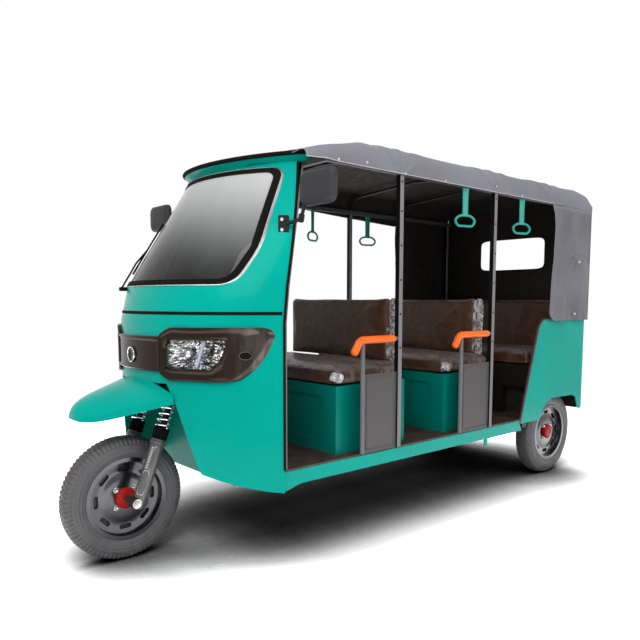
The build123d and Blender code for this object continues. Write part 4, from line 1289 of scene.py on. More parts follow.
def flap_points(front, side):
    """A side flap: upright cloth from the rail to the body, with folds that fan downwards from an eyelet."""
    t = np.linspace(0, 1, 110)[:, None]
    s = np.linspace(0, 1, 100)[None, :]
    low, high = BODY_TOP + 0.001 - 0.012, RAIL_Z + 0.006
    edge = front + 0.011 * np.sin(np.pi * t) - 0.008 * t + 0.035 * np.clip((t - 0.93) / 0.07, 0, 1) ** 2
    y = edge + (REAR_END - 0.006 - edge) * s
    z = high + (low - high) * t + 0 * s
    dy = (y - front) / (REAR_END - front)
    fold = 0.0080 * np.sin(2 * np.pi * (dy * 2.1 + 0.55 * t + 0.1)) * np.clip(t / 0.18, 0, 1)
    fold += 0.0042 * np.sin(2 * np.pi * (dy * 4.6 + 0.9 * t) + 1.0) * np.clip(t / 0.3, 0, 1)
    fold += 0.0050 * np.exp(-((dy - 0.16 + 0.12 * t) / 0.05) ** 2) * np.clip(t / 0.1, 0, 1)
    spot = np.hypot((dy - 0.60) * 0.45, (t - 0.42) * 0.66)
    fan = np.sin(7.0 * np.arctan2(dy - 0.60, np.maximum(t - 0.42, 0.01)))
    fold += 0.009 * fan * np.clip(spot / 0.04, 0, 1) * np.exp(-spot / 0.18) * (t > 0.42)
    curl = 0.009 * np.exp(-s / 0.06)
    free = np.clip(t / 0.08, 0, 1) * np.clip((1 - s) / 0.10, 0, 1)
    x = CANOPY_X - 0.0005 + (fold + curl) * free + 0.0045 * np.clip((t - 0.9) / 0.1, 0, 1) ** 2
    x = np.maximum(x, SILL_X + 0.0055)
    return np.stack([side * (x + 0 * s), y + 0 * x, z], axis=-1)


WINDOW_HALF, WINDOW_LOW, WINDOW_HIGH = 0.248, 1.289, 1.495


def curtain_points():
    """The rear curtain: rings from the window's rounded edge out to the roof and body, with upright folds."""
    half_w, half_h = CANOPY_X + 0.0015, 0.5 * (CURTAIN_TOP - BODY_TOP)
    centre = np.array([0.0, 0.5 * (WINDOW_LOW + WINDOW_HIGH)])
    middle = BODY_TOP + 0.001 + half_h
    angle = full_turn(240)
    c, s = np.cos(angle), np.sin(angle)
    window = (np.abs(c / WINDOW_HALF) ** 9 + np.abs(s / (0.5 * (WINDOW_HIGH - WINDOW_LOW))) ** 9) ** (-1 / 9)
    inner = centre + np.stack([c, s], axis=1) * window[:, None]
    up = np.where(s > 0, middle + half_h - centre[1], centre[1] - middle + half_h)
    outer = np.minimum(half_w / np.maximum(np.abs(c), 1e-6), up / np.maximum(np.abs(s), 1e-6))
    outer = centre + np.stack([c, s], axis=1) * outer[:, None]
    t = np.linspace(0, 1, 26)[:, None, None] ** 1.15
    flat = (1 - t) * inner + t * outer
    x, z = flat[..., 0], flat[..., 1]
    hoop = hoop_points(np.array([REAR_END - 0.009]), 24)[0]
    rim = np.interp(np.abs(x), hoop[::-1, 0], hoop[::-1, 2])
    high = np.clip((z - WINDOW_HIGH) / (CURTAIN_TOP - WINDOW_HIGH), 0, 1)
    z = z + high * (rim - CURTAIN_TOP - 0.001)
    near = t[..., 0] * (1 - t[..., 0]) * 4
    fold = 0.0022 * np.sin(14.0 * x + 1.7) * near + 0.0018 * np.sin(31.0 * x + 9.0 * z) * near
    return np.stack([x, REAR_END - 0.0035 + fold - 0.001, z], axis=-1)


# ------------------------------------------------------------------ wheels
TYRE_SECTION = np.array([[0.036, 0.163], [0.043, 0.172], [0.0485, 0.190], [0.0500, 0.208], [0.0488, 0.222],
                         [0.0455, 0.235], [0.0400, 0.2465], [0.0300, 0.2530], [0.0160, 0.2562],
                         [0.0, 0.2570]])


def tyre_shape(place):
    """A tyre: its section is carried round the axle; lugs are cut by waves round the tread and across it.

    Fine rings and a raised band run round each sidewall."""
    half = resample(TYRE_SECTION, 46)
    inner = resample(np.array([[0.036, 0.163], [0.037, 0.172], [0.041, 0.188], [0.0, 0.200]]), 5)[1:]
    upper = np.concatenate([half, half[-2::-1] * [-1, 1]])
    under = np.concatenate([inner * [-1, 1], inner[-2::-1]])
    section = np.concatenate([upper, under])
    step = along(section, closed=True)
    normal = np.stack([step[:, 1], -step[:, 0]], axis=1)
    if normal[len(half) - 1, 1] < 0:
        normal = -normal
    count = 6 * sizes().lugs
    angle = full_turn(count)[:, None]
    a, r = section[:, 0][None], section[:, 1][None]
    tread = (np.arange(len(section)) < len(upper))[None]
    wave = sizes().lugs * angle
    slant = 26.0 * np.abs(a)
    shoulder = np.clip(4.0 * np.cos(wave + slant) + 2.4, -1, 1)
    block = np.clip(4.0 * np.cos(wave + slant + np.pi * (a > 0)) + 2.4, -1, 1)
    on_shoulder = np.clip((np.abs(a) - 0.0215) / 0.0015, 0, 1) * np.clip((r - 0.2255) / 0.003, 0, 1)
    on_crown = np.clip((0.0185 - np.abs(a)) / 0.0015, 0, 1) * (r > 0.24)
    groove = on_shoulder * (1 - shoulder) / 2 + on_crown * 0.8 * (1 - block) / 2
    ring = np.exp(-((np.abs(a) - 0.0200) / 0.0016) ** 2) + np.exp(-(a / 0.0014) ** 2)
    ring = ring * (r > 0.24)
    depth = sizes().lug_depth * np.maximum(groove, 0.9 * ring)
    for level in (0.181, 0.196, 0.212, 0.2285):
        depth = depth + np.where(np.abs(a) > 0.03, 0.0017, 0) * np.exp(-((r - level) / 0.0018) ** 2)
    lift = np.where(np.abs(a) > 0.03, 0.0009, 0) * np.exp(-((r - 0.2035) / 0.0035) ** 2)
    depth = np.where(tread, depth - lift * np.clip(6 * np.cos(2 * angle + 0.4), 0, 1), 0.0)
    points = section[None] - depth[..., None] * normal[None]
    a, r = points[..., 0], points[..., 1]
    grid = np.stack([a, r * np.cos(angle), r * np.sin(angle)], axis=-1) + np.asarray(place)
    return surface(grid, wrap_rows=True, wrap_cols=True)


WHEELS = {
    "front": (np.array([0.0, 0.0, TYRE_R]), "front_wheel", 1),
    "rear_left": (np.array([TRACK_HALF, WHEELBASE, TYRE_R]), "rear_wheel_left", 1),
    "rear_right": (np.array([-TRACK_HALF, WHEELBASE, TYRE_R]), "rear_wheel_right", -1),
}


NUTS, NUT_CIRCLE_R = 4, 0.052


def nuts_shape(place, side):
    """Dome nuts on studs round the hub: hexagons whose crown is rounded, on washers."""
    washer = [(0.0, 0.0001), (0.0, 0.0125), (0.002, 0.0125), (0.002, 0.0002)]
    nut = [(0.0018, 0.0001), (0.0018, 0.0100), (0.0095, 0.0098), (0.0130, 0.0072), (0.0155, 0.0030),
           (0.0158, 0.0001)]
    shapes = []
    for turn in 2 * np.pi * (np.arange(NUTS) + 0.5) / NUTS:
        spot = place + [side * 0.0215, NUT_CIRCLE_R * np.cos(turn), NUT_CIRCLE_R * np.sin(turn)]
        for profile, sides in ((washer, 20), (nut, 6)):
            shapes.append(lathe(profile, spot, (side, 0, 0), sides))
    return join(*shapes)


def drum_shape(place, side):
    """The brake drum behind the slotted disc: a shallow drum with a ribbed rim."""
    profile = [(-0.034, 0.050), (-0.034, 0.118), (-0.028, 0.126), (-0.020, 0.126), (-0.016, 0.122),
               (-0.008, 0.122), (-0.004, 0.127), (0.003, 0.145), (0.006, 0.145), (0.006, 0.050)]
    return lathe([(side * a, r) for a, r in profile], place, (1, 0, 0), 64, closed=True)


def axle_nut_shape(place, side):
    """Washer, hexagon nut and stud end on an axle, outwards from place."""
    washer = [(0.0, 0.0001), (0.0, 0.019), (0.003, 0.019), (0.003, 0.0002)]
    nut = [(0.0025, 0.0001), (0.0025, 0.0155), (0.012, 0.0155), (0.014, 0.0130), (0.0141, 0.0001)]
    stud = [(0.013, 0.0001), (0.013, 0.0085), (0.0205, 0.0085), (0.022, 0.0070), (0.0221, 0.0001)]
    return join(*[lathe(profile, place, (side, 0, 0), sides)
                  for profile, sides in ((washer, 24), (nut, 6), (stud, 16))])


# ------------------------------------------------------------------ fork springs
SPRING_LOW, SPRING_HIGH, SPRING_R = 0.310, 0.449, 0.033
SLIDER_R = 0.0285


def spring_shape(x):
    """A coil round the fork leg: a helix of round wire whose last half turns lie flat."""
    turns = sizes().coil_turns
    t = np.linspace(0, 1, int(26 * turns))
    wire = 0.0043
    rise = np.clip((t * turns - 0.6) / (turns - 1.2), 0, 1)
    level = SPRING_LOW + wire + rise * (SPRING_HIGH - SPRING_LOW - 2 * wire)
    centre = np.array([steer(0.0, x)]) + level[:, None] * STEER_AHEAD[None]
    side = np.array([1.0, 0.0, 0.0])
    front = np.cross(STEER_AHEAD, side)
    angle = 2 * np.pi * turns * t[:, None]
    path = centre + (SPRING_R - wire) * (np.cos(angle) * side + np.sin(angle) * front)
    return tube(path, wire, 8, up=tuple(STEER_AHEAD))


def on_leg(profile, x):
    """A profile of (distance up the steering axis, radius) turned round a fork leg."""
    return lathe(profile, steer(0.0, x), STEER_AHEAD, 32)


def slider_shape(x):
    """A lower fork leg: a tube with a rounded foot and a collar under its boot."""
    r = SLIDER_R
    return on_leg([(-0.032, 0.0001), (-0.032, 0.014), (-0.026, 0.021), (-0.015, r - 0.002),
                   (0.02, r - 0.0012), (0.20, r), (0.236, r), (0.239, r + 0.004), (0.252, r + 0.004),
                   (0.256, r), (0.2625, r), (0.263, 0.0001)], x)


def boot_shape(x):
    """A ribbed rubber boot over the foot of a spring: a radius that swells five times."""
    t = np.linspace(0, 1, 51)
    r = 0.0285 + 0.0042 * np.abs(np.sin(5 * np.pi * t)) ** 0.7
    body = np.stack([0.262 + 0.050 * t, r], axis=1)
    return on_leg(np.concatenate([[[0.262, 0.0001]], body, [[0.3125, 0.0001]]]), x)


def leg_line(outline, x, radius=0.0011):
    """A fine closed line on a fork leg; its outline is (distance up the leg, turn in degrees)."""
    outline = resample(np.asarray(outline, float), 60, closed=True)
    front = np.cross([1.0, 0.0, 0.0], STEER_AHEAD)
    turn = np.radians(outline[:, 1:])
    spoke = np.cos(turn) * [math.copysign(1.0, x), 0.0, 0.0] + np.sin(turn) * front
    path = steer(0.0, x) + outline[:, :1] * STEER_AHEAD + (SLIDER_R + 0.0004) * spoke
    return tube(path, radius, 6, closed=True, up=tuple(STEER_AHEAD))


def leg_marks(x):
    """Plain outlines and a row of ticks on a fork leg."""
    lower = [(0.030, 24), (0.036, 18), (0.118, 18), (0.128, 30), (0.128, 62), (0.118, 72), (0.036, 72),
             (0.030, 66)]
    upper = [(0.134, 22), (0.228, 22), (0.232, 34), (0.134, 34)]
    shapes = [leg_line(lower, x), leg_line(upper, x)]
    for i in range(12):
        level = 0.138 + 0.0078 * i
        tick = [(level, 44), (level, 68), (level + 0.0016, 68), (level + 0.0016, 44)]
        shapes.append(leg_line(tick, x, 0.0008))
    return join(*shapes)


def both_legs(shape_at):
    """One shape at each fork leg."""
    return join(shape_at(LEG_X), shape_at(-LEG_X))


# ------------------------------------------------------------------ mirrors, lamps, handles
def mirror_head_shape():
    """A mirror's shell: rounded outlines that shrink forward into a dome, with a lip round the glass."""
    low, high = node_box("mirror_heads")
    outer_x, inner_x = high[0], 0.535
    half_w, half_h = 0.5 * (outer_x - inner_x), 0.5 * (high[2] - low[2])
    centre = ((outer_x + inner_x) / 2, high[1], (low[2] + high[2]) / 2)
    outline = rounded_outline(half_w, half_h, 0.034, 10)
    rings = [(0.93, -0.0025), (0.965, 0.0), (0.996, 0.002), (1.0, 0.006), (0.995, 0.0125), (0.975, 0.019),
             (0.935, 0.0245), (0.87, 0.0285), (0.76, 0.0315), (0.58, 0.0335), (0.34, 0.0347), (0.02, 0.0350)]
    return dome(outline, rings, centre, (1, 0, 0), (0, 0, 1))


BRACKET_AT = np.array([0.470, 0.491, 1.371])
BRACKET_ACROSS = np.array([0.621, 0.784, 0.0])
BRACKET_OUT = np.array([0.784, -0.621, 0.0])
MIRROR_ARM = [[0.484, 0.496, 1.375], [0.520, 0.500, 1.379], [0.548, 0.506, 1.385], [0.558, 0.511, 1.398],
              [0.566, 0.522, 1.448]]
CLAMP = [[0.5545, 0.508, 1.374], [0.555, 0.5085, 1.378], [0.5585, 0.5115, 1.404], [0.559, 0.512, 1.408]]


def mirror_mount_shape():
    """A mirror's mount: an upright plate on the cab's side, a bent arm and a round clamp at its elbow."""
    outline = rounded_outline(0.022, 0.037, 0.005, 5)
    rings = [(0.9, -0.014), (1.0, -0.013), (1.0, 0.0095), (0.94, 0.0120), (0.02, 0.0120)]
    plate = dome(outline, rings, BRACKET_AT, BRACKET_ACROSS, (0, 0, 1))
    arm = tube(resample(bend_path(MIRROR_ARM, 0.008, 5), 40), 0.0075, 14)
    clamp = tube(np.array(CLAMP), np.array([0.007, 0.0125, 0.0125, 0.007]), 14)
    return join(plate, arm, clamp)


def bracket_bolts():
    """Dome-headed bolts on the plate."""
    profile = [(0, 0.0001), (0, 0.0072), (0.003, 0.0068), (0.006, 0.004), (0.007, 0.0001)]
    foot = BRACKET_AT - 0.007 * BRACKET_ACROSS + 0.0118 * BRACKET_OUT
    feet = [foot + [0, 0, lift] for lift in (-0.020, 0.020)]
    return join(*[lathe(profile, foot, BRACKET_OUT, 16) for foot in feet])


LENS = np.array([[0.206, 0.806], [0.385, 0.803], [0.412, 0.826], [0.427, 0.872], [0.434, 0.905],
                 [0.430, 0.920], [0.226, 0.918], [0.208, 0.890]])
# each bowl's centre in front view and its radius
BOWLS = ((0.268, 0.862, 0.056), (0.383, 0.864, 0.050))
BEZEL = np.array([[0.174, 0.790], [0.176, 0.934], [0.232, 0.967], [0.524, 0.969], [0.537, 0.942],
                  [0.519, 0.860], [0.500, 0.812], [0.466, 0.766], [0.432, 0.756], [0.222, 0.757]])
BEZEL_MID = np.array([0.330, 0.864])
BAND_HALF = 0.176
BADGE_Z, PLUG_X, PLUG_Z = 0.850, 0.486, 0.861


def around(outline, angle):
    """Distance of a round-cornered outline from BEZEL_MID at the given angles."""
    spoke = outline - BEZEL_MID
    turn = np.arctan2(spoke[:, 1], spoke[:, 0])
    order = np.argsort(turn)
    return np.interp(angle, turn[order], np.hypot(*spoke.T)[order], period=2 * np.pi)


def bezel_shape():
    """A lamp's surround: rings between its outline and the lens, raised as a rounded rim and a lip.

    A ring's radius is the outline's less an inset, or the lens's plus one, along spokes from BEZEL_MID."""
    angle = np.linspace(-np.pi, np.pi, 240, endpoint=False)
    outer = around(resample(bend_path(BEZEL, 0.020, 8, closed=True), 900, closed=True), angle)
    lens = around(resample(bend_path(LENS, 0.008, 6, closed=True), 900, closed=True), angle)
    gap = outer - lens
    rim = np.array([[0.0, -0.001], [0.0, 0.0100], [0.0020, 0.0140], [0.0060, 0.0165], [0.0110, 0.0170],
                    [0.0160, 0.0155], [0.0210, 0.0130]])
    lip = np.array([[0.0150, 0.0125], [0.0110, 0.0145], [0.0080, 0.0172], [0.0035, 0.0172], [0.0005, 0.0150],
                    [-0.0018, 0.0110], [-0.0018, -0.0030]])
    fit = np.minimum(1.0, gap / 0.038)
    radii = np.concatenate([outer - rim[:, :1] * fit, lens + lip[:, :1] * fit])
    out = np.concatenate([rim[:, 1], lip[:, 1]])
    x = BEZEL_MID[0] + radii * np.cos(angle)
    z = BEZEL_MID[1] + radii * np.sin(angle)
    return surface(np.stack([x, cab_y(x, z, out[:, None]), z], axis=-1), wrap_cols=True)


def nose_band_shape():
    """The band between the bezels: a section with a ridge along each edge, carried across the nose."""
    section = np.array([[0.790, 0.0], [0.790, 0.0115], [0.793, 0.0150], [0.800, 0.0155], [0.805, 0.0125],
                        [0.815, 0.0115], [0.905, 0.0115], [0.914, 0.0125], [0.919, 0.0155], [0.926, 0.0150],
                        [0.930, 0.0115], [0.930, 0.0]])
    x = np.linspace(-BAND_HALF, BAND_HALF, 60)[:, None]
    z, out = section[:, 0][None] + 0 * x, section[:, 1][None] + 0 * x
    return surface(np.stack([x + 0 * z, cab_y(x + 0 * z, z, out), z], axis=-1), wrap_cols=True, cap_ends=True)


def badge_shape():
    """A plain round boss on the nose band."""
    outline = ring_outline(0.0330, 48) + [0.0, BADGE_Z]
    return skin_boss(outline, [(1.0, 0.009), (1.0, 0.0155), (0.96, 0.0175), (0.80, 0.0180), (0.72, 0.0160),
                               (0.02, 0.0165)])


def divider_x(z):
    """X of the slanted bar between a lamp's two bowls."""
    return 0.329 + (z - 0.803) * 0.267


LENS_SIDES = 128


def reflector_shape():
    """A lamp's bowls: rings from the lens outline, sunk as two fluted bowls beside a slanted bar."""
    outline = resample(bend_path(LENS, 0.006, 4, closed=True), LENS_SIDES, closed=True)
    centre = outline.mean(axis=0)
    t = np.concatenate([np.linspace(1.0, 0.9, 6), np.linspace(0.885, 0.001, 40)])[:, None, None]
    flat = centre + t * 0.997 * (outline - centre)
    x, z = flat[..., 0], flat[..., 1]
    depth = -0.006 + 0 * x
    for bowl_x, bowl_z, radius in BOWLS:
        far = np.hypot(x - bowl_x, z - bowl_z)
        turn = np.arctan2(z - bowl_z, x - bowl_x)
        sunk = -0.036 * np.sqrt(np.clip(1 - (far / radius) ** 2, 0, 1))
        flutes = 0.0018 * np.sign(np.sin(9 * turn)) * np.clip(far / radius - 0.25, 0, 0.4)
        depth = np.minimum(depth, np.where(far < radius, sunk - 0.006 + flutes, 0))
    bar = np.exp(-((x - divider_x(z)) / 0.007) ** 4)
    depth = depth * (1 - bar) - 0.003 * bar
    front = np.stack([x, cab_y(x, z, depth), z], axis=-1)
    back = np.stack([x, cab_y(x, z, -0.0455 + 0 * depth), z], axis=-1)
    shell = np.concatenate([front[::-1], back[:1]])
    points, quads, _ = surface(shell, wrap_cols=True)
    cap = [np.arange(LENS_SIDES)[::-1], (len(shell) - 1) * LENS_SIDES + np.arange(LENS_SIDES)]
    return points, quads, cap


def divider_shape():
    """The slanted bar between a lamp's bowls, as a flat bead on the skin."""
    z = np.linspace(0.807, 0.917, 16)
    return cab_ribbon(np.stack([divider_x(z), z], axis=1), 0.0060, 0.0052, sink=-0.002)


def bulb_shapes():
    """A stepped round bulb at the bottom of each bowl."""
    shapes = []
    for bowl_x, bowl_z, radius in BOWLS:
        centre = (bowl_x, cab_y(bowl_x, bowl_z, -0.040), bowl_z)
        r = 0.36 * radius
        profile = [(0.0, 0.0001), (0.0, r), (0.014, r), (0.019, 0.8 * r), (0.022, 0.45 * r), (0.023, 0.0001)]
        shapes.append(lathe(profile, centre, (0, -1, 0), 28))
    return join(*shapes)


HANDLES = ((1.570, 1, -0.3), (2.080, 1, -0.3), (1.502, -1, 0.34), (1.980, -1, -0.3))  # Y, side and turn
RING_LOW, RING_HIGH, RING_WIRE = 1.436, 1.500, 0.0062


def handle_shape(y, side, turn):
    """A hanging handle: a round-cornered tube loop with an arched top, under a flat strap."""
    x = 0.5 * (RAIL_X + RAIL_X - RAIL_TUBE)
    low, high = RING_LOW + RING_WIRE, RING_HIGH - RING_WIRE
    loop = np.array([[-0.059, low + 0.020], [-0.042, low], [0.042, low], [0.059, low + 0.020],
                     [0.056, high - 0.016], [0.030, high], [-0.030, high], [-0.056, high - 0.016]])
    loop = resample(bend_path(loop, 0.012, 6, closed=True), 80, closed=True)
    path = np.stack([np.full(len(loop), x), y + loop[:, 0], loop[:, 1]], axis=1)
    ring = tube(path, RING_WIRE, 12, closed=True, up=(1, 0, 0))
    z = np.array([high - 0.004, high + 0.004, high + 0.016, 1.56, RAIL_Z - 0.020, RAIL_Z - 0.001])
    wide = np.array([0.0120, 0.0165, 0.0160, 0.0165, 0.0180, 0.0200])
    deep = np.array([0.0065, 0.0060, 0.0030, 0.0025, 0.0025, 0.0040])
    angle = full_turn(24)
    c, s = np.cos(angle), np.sin(angle)
    square = (np.abs(c) ** 4 + np.abs(s) ** 4) ** -0.25
    strap = [x + deep[:, None] * c * square, y + wide[:, None] * s * square, z[:, None] + 0 * c]
    strap = np.stack(strap, axis=-1)
    whole = join(ring, surface(strap, wrap_cols=True, cap_ends=True))
    whole = turned(whole, "Z", turn, np.array([x, y, 0.0]))
    return whole if side > 0 else mirrored(whole)


# ------------------------------------------------------------------ seat pads
BENCH_HALF = SILL_X - 0.063
PADS = {  # lowest and highest corner of each solid pad
    "front_seat_cushion": ((-BENCH_HALF, 0.757, 0.700), (BENCH_HALF, 1.2217, 0.780)),
    "middle_seat_cushion": ((-BENCH_HALF, 1.499, 0.700), (BENCH_HALF, 1.9267, 0.780)),
    "rear_seat_cushion": ((-0.510, WHEELBASE - 0.335, 0.700), (0.510, WHEELBASE + 0.1427, 0.780)),
    "front_seat_back": ((-0.390, 1.192, 0.740), (0.390, 1.247, 1.097)),
    "middle_seat_back": ((-0.390, 1.897, 0.740), (0.390, 1.952, 1.097)),
    "rear_seat_back": ((-0.500, WHEELBASE + 0.143, 0.7003), (0.500, REAR_END - 0.054, 1.097)),
}
PAD_VOXEL = 0.009
PAD_CLOTH = {"quality": 4, "mass": 0.3, "tension_stiffness": 12.0, "compression_stiffness": 12.0,
             "shear_stiffness": 5.0, "bending_stiffness": 0.4, "use_pressure": True,
             "uniform_pressure_force": 4.0}
SWELL_STEPS = 20
PAD_GAP = 0.0006
CUSHION_LAP = 0.045           # how much of a back's foot stands behind its cushion


def pad_start(name):
    """A pad before it swells: a rounded outline with rounded edges, a little inside its solid."""
    low, high = (np.array(corner) for corner in PADS[name])
    is_back = name.endswith("back")
    inset = 0.006 if is_back else 0.005
    half, mid = (high - low) / 2 - inset, (high + low) / 2
    if not is_back:
        outline = rounded_outline(half[0], half[1], 0.030, 6)
        levels = [(0.016, -half[2]), (0.006, -half[2] + 0.004), (0.0, -half[2] + 0.014),
                  (0.0, half[2] - 0.016), (0.006, half[2] - 0.005), (0.016, half[2])]
        return stack(outline, levels, mid, (1, 0, 0), (0, 1, 0))
    outline = rounded_outline(half[0], half[2], 0.026, 6)
    levels = [(0.014, -half[1]), (0.005, -half[1] + 0.004), (0.0, -half[1] + 0.012),
              (0.0, half[1] - 0.012), (0.005, half[1] - 0.004), (0.014, half[1])]
    return stack(outline, levels, mid, (1, 0, 0), (0, 0, 1))


def remeshed(piece, voxel):
    """Replaces a piece's mesh by an even one of the given cell."""
    modifier = add_modifier(piece, "even", "REMESH", mode="VOXEL", voxel_size=voxel)
    mesh = bpy.data.meshes.new_from_object(piece.evaluated_get(bpy.context.evaluated_depsgraph_get()))
    piece.modifiers.remove(modifier)
    old = piece.data
    piece.data = mesh
    bpy.data.meshes.remove(old)


def crinkles(places, seed):
    """Height of film creases and slack folds: warped waves in three sizes, seeded by the pad."""
    x, y, z = places.T
    warp = 0.35 * np.sin(7.0 * x + 2.1 * seed) + 0.3 * np.sin(11.0 * (y + z) + seed)
    big = np.sin(19.0 * x + 9.0 * (y + z) + 5.0 * warp + seed)
    fine = np.abs(np.sin(41.0 * x - 33.0 * (y + z) + 7.0 * warp + 1.7 * seed)) - 0.6
    return 0.0010 * big + 0.0009 * fine


def swell_pads(pieces):
    """Runs Cloth with inner pressure on all pads at once, and returns each pad's swollen places."""
    scene = bpy.context.scene
    for piece in pieces:
        start = vertex_places(piece.data)
        low = start.min(axis=0)
        held = piece.vertex_groups.new(name="held")
        rest = start[:, 2] < low[2] + 0.006
        is_cushion = not piece.name.endswith("back")
        if is_cushion:
            held.add([int(i) for i in np.nonzero(rest)[0]], 1.0, "REPLACE")
        cloth = piece.modifiers.new("swell", "CLOTH")
        for key, value in PAD_CLOTH.items():
            setattr(cloth.settings, key, value)
        cloth.settings.effector_weights.gravity = 0.0
        cloth.collision_settings.use_collision = False
        if is_cushion:
            cloth.settings.vertex_group_mass = "held"
        cloth.point_cache.frame_start, cloth.point_cache.frame_end = 1, SWELL_STEPS
    for step in range(1, SWELL_STEPS + 1):
        scene.frame_set(step)
    graph = bpy.context.evaluated_depsgraph_get()
    swollen = []
    for piece in pieces:
        result = bpy.data.meshes.new_from_object(piece.evaluated_get(graph))
        swollen.append(vertex_places(result))
        bpy.data.meshes.remove(result)
        piece.modifiers.remove(piece.modifiers["swell"])
        piece.vertex_groups.clear()
    scene.frame_set(1)
    return swollen


def make_pads():
    """All seat pads: even meshes that swell up to a cap, are creased, kept off the benches and subdivided."""
    pieces = []
    for name in PADS:
        piece = make_piece(name, pad_start(name), "wrapped_leather", sharp=None)
        remeshed(piece, PAD_VOXEL)
        pieces.append(piece)
    starts = [vertex_places(piece.data) for piece in pieces]
    cap = sizes().pad_swell
    swollen = swell_pads(pieces)
    for seed, (piece, start, end) in enumerate(zip(pieces, starts, swollen)):
        shift = end - start
        length = np.linalg.norm(shift, axis=1, keepdims=True)
        shift *= np.minimum(1, cap / np.maximum(length, 1e-9))
        low, high = (np.array(corner) + SHIFT for corner in PADS[piece.name])
        places = start + shift
        mid = (low + high) / 2
        out = unit(places - mid) * np.array([0.3, 1.0, 1.0])
        places = places + crinkles(start, seed + 1.0)[:, None] * out
        is_back = piece.name.endswith("back")
        behind_cushion = piece.name in ("front_seat_back", "middle_seat_back")
        floor = low[2] + (CUSHION_LAP if behind_cushion else PAD_GAP)
        if is_back:
            wide, rear, top = 0.004, 0.004, 0.005
        else:
            wide, rear, top = 0.003, -0.004, 0.008
        limits = [(low[0] - wide, high[0] + wide), (low[1] - 0.006, high[1] + rear), (floor, high[2] + top)]
        if piece.name == "rear_seat_back":
            limits[1] = (low[1] + 0.001, high[1] - 0.001)
        for axis, (least, most) in enumerate(limits):
            places[:, axis] = np.clip(places[:, axis], least, most)
        piece.data.vertices.foreach_set("co", places.astype(np.float32).ravel())
        piece.data.update()
        piece.data.shade_smooth()
        add_modifier(piece, "smooth", "SUBSURF", levels=1, render_levels=1)
    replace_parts(pieces[0], "seat_cushions")
    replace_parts(pieces[3], "seat_backs")


BACK_FILM_Y = (1.219, 1.924)
CUSHION_FILM_Y = (0.775, 1.535)


def film_bundle(name, centre, axis, size, seed, blunt):
    """Bunched film: a closed lobe whose radius is broken by sharp ridges that run along it."""
    t = np.linspace(0.02, np.pi - 0.02, 40)[:, None]
    a = full_turn(64)[None, :]
    ridges = 0.18 * np.abs(np.sin(4 * a + 2.0 * np.cos(t + seed)))
    ridges = ridges + 0.10 * np.abs(np.sin(9 * a + seed + 3 * t)) + 0.14 * np.sin(3 * t + 2 * a + seed)
    r = np.sin(t) ** blunt * (0.78 + ridges)
    local = np.stack([np.cos(t) + 0 * a, r * np.cos(a), r * np.sin(a)], axis=-1) * np.asarray(size)
    turn = np.array(Vector((1, 0, 0)).rotation_difference(Vector(axis).normalized()).to_matrix())
    points = local @ turn.T + np.asarray(centre)
    return make_piece(name, surface(points, wrap_cols=True, cap_ends=True), "silver_film", sharp=25.0)


# ------------------------------------------------------------------ strips and trim
def belt_shape():
    """The black strip round the cab at one height, edge to edge."""
    settings = sizes()
    x = np.linspace(-CAB_HALF + 0.006, CAB_HALF - 0.006, 140)
    path = np.stack([x, np.full_like(x, settings.belt_z)], axis=1)
    return cab_ribbon(path, settings.belt_half, 0.0032, sides=10)


def cab_edge_path(side):
    """The cab's rear edge from the sill up to the roof, in side view straight runs between levels."""
    runs = (np.linspace(0.404, 0.985, 40), np.linspace(0.995, 1.132, 14), np.linspace(1.145, 1.640, 60))
    z = np.concatenate(runs)
    y = CAB_EDGE + np.interp(z, [0.310, 0.985, 1.132, 1.655], [0.0, 0.0, 0.021, 0.183])
    behind = cab_nose(z) + CAB_R - y
    x = np.sqrt(CAB_R ** 2 - behind ** 2)
    return np.stack([side * x, y, z], axis=1)


def body_edge_path(side):
    """The rear body's slanted front edge and its rounded upper corner."""
    corners = [(WHEELBASE - 0.458, 0.376), (WHEELBASE - 0.289, 0.925), (WHEELBASE - 0.244, BODY_TOP),
               (WHEELBASE - 0.20, BODY_TOP)]
    yz = resample(bend_path(corners, 0.022, 8), 70)
    return np.stack([np.full(len(yz), side * (SILL_X - 0.004)), yz[:, 0], yz[:, 1]], axis=1)


SCREEN = np.array([[-0.425, 1.135], [0.425, 1.135], [0.440, 1.280], [0.385, 1.616], [-0.385, 1.616],
                   [-0.440, 1.280]])


def screen_line_shape():
    """A bright bead that follows the windscreen's seal."""
    path = resample(bend_path(SCREEN, 0.052, 10, closed=True), 260, closed=True)
    centre = path.mean(axis=0)
    path = centre + (path - centre) * np.array([1.006, 1.009])
    return cab_ribbon(path, 0.0028, 0.0062, closed=True)


CAP_NOSE, CAP_R, CAP_TILT, CAP_HIGH = CAB_NOSE + 0.330, CAB_HALF + 0.012, math.radians(5.7), 1.661


def cap_rim_path():
    """The roof cap's upper edge: an arc about the cap's centre, in a plane tilted up to the rear."""
    r, below, back = CAP_R + 0.001, 0.006, 0.655
    turn = np.linspace(-1.2, 1.2, 160)
    ahead = CAP_R - r * np.cos(turn)
    y = CAP_NOSE + ahead * math.cos(CAP_TILT) + below * math.sin(CAP_TILT)
    z = CAP_HIGH + ahead * math.sin(CAP_TILT) - below * math.cos(CAP_TILT)
    path = np.stack([r * np.sin(turn), y, z], axis=1)
    return path[y < back]


def hem_path(side):
    """The lower edge of the roof's cloth on one side."""
    y = np.linspace(0.574 if side > 0 else 0.642, WHEELBASE - 0.21, 150)
    drop = hem_drop(y) if side < 0 else 0 * y
    foot = hoop_points(y, 3)[:, 0] + np.stack([0.0042 + 0 * y, 0 * y, 0.0015 - drop], axis=1)
    return foot * [side, 1, 1]


# Y and height over the rail of each stud
STUDS = ((0.700, 0.012), (0.863, 0.022), (1.105, 0.006), (1.388, 0.010), (1.807, 0.034), (2.050, 0.012))


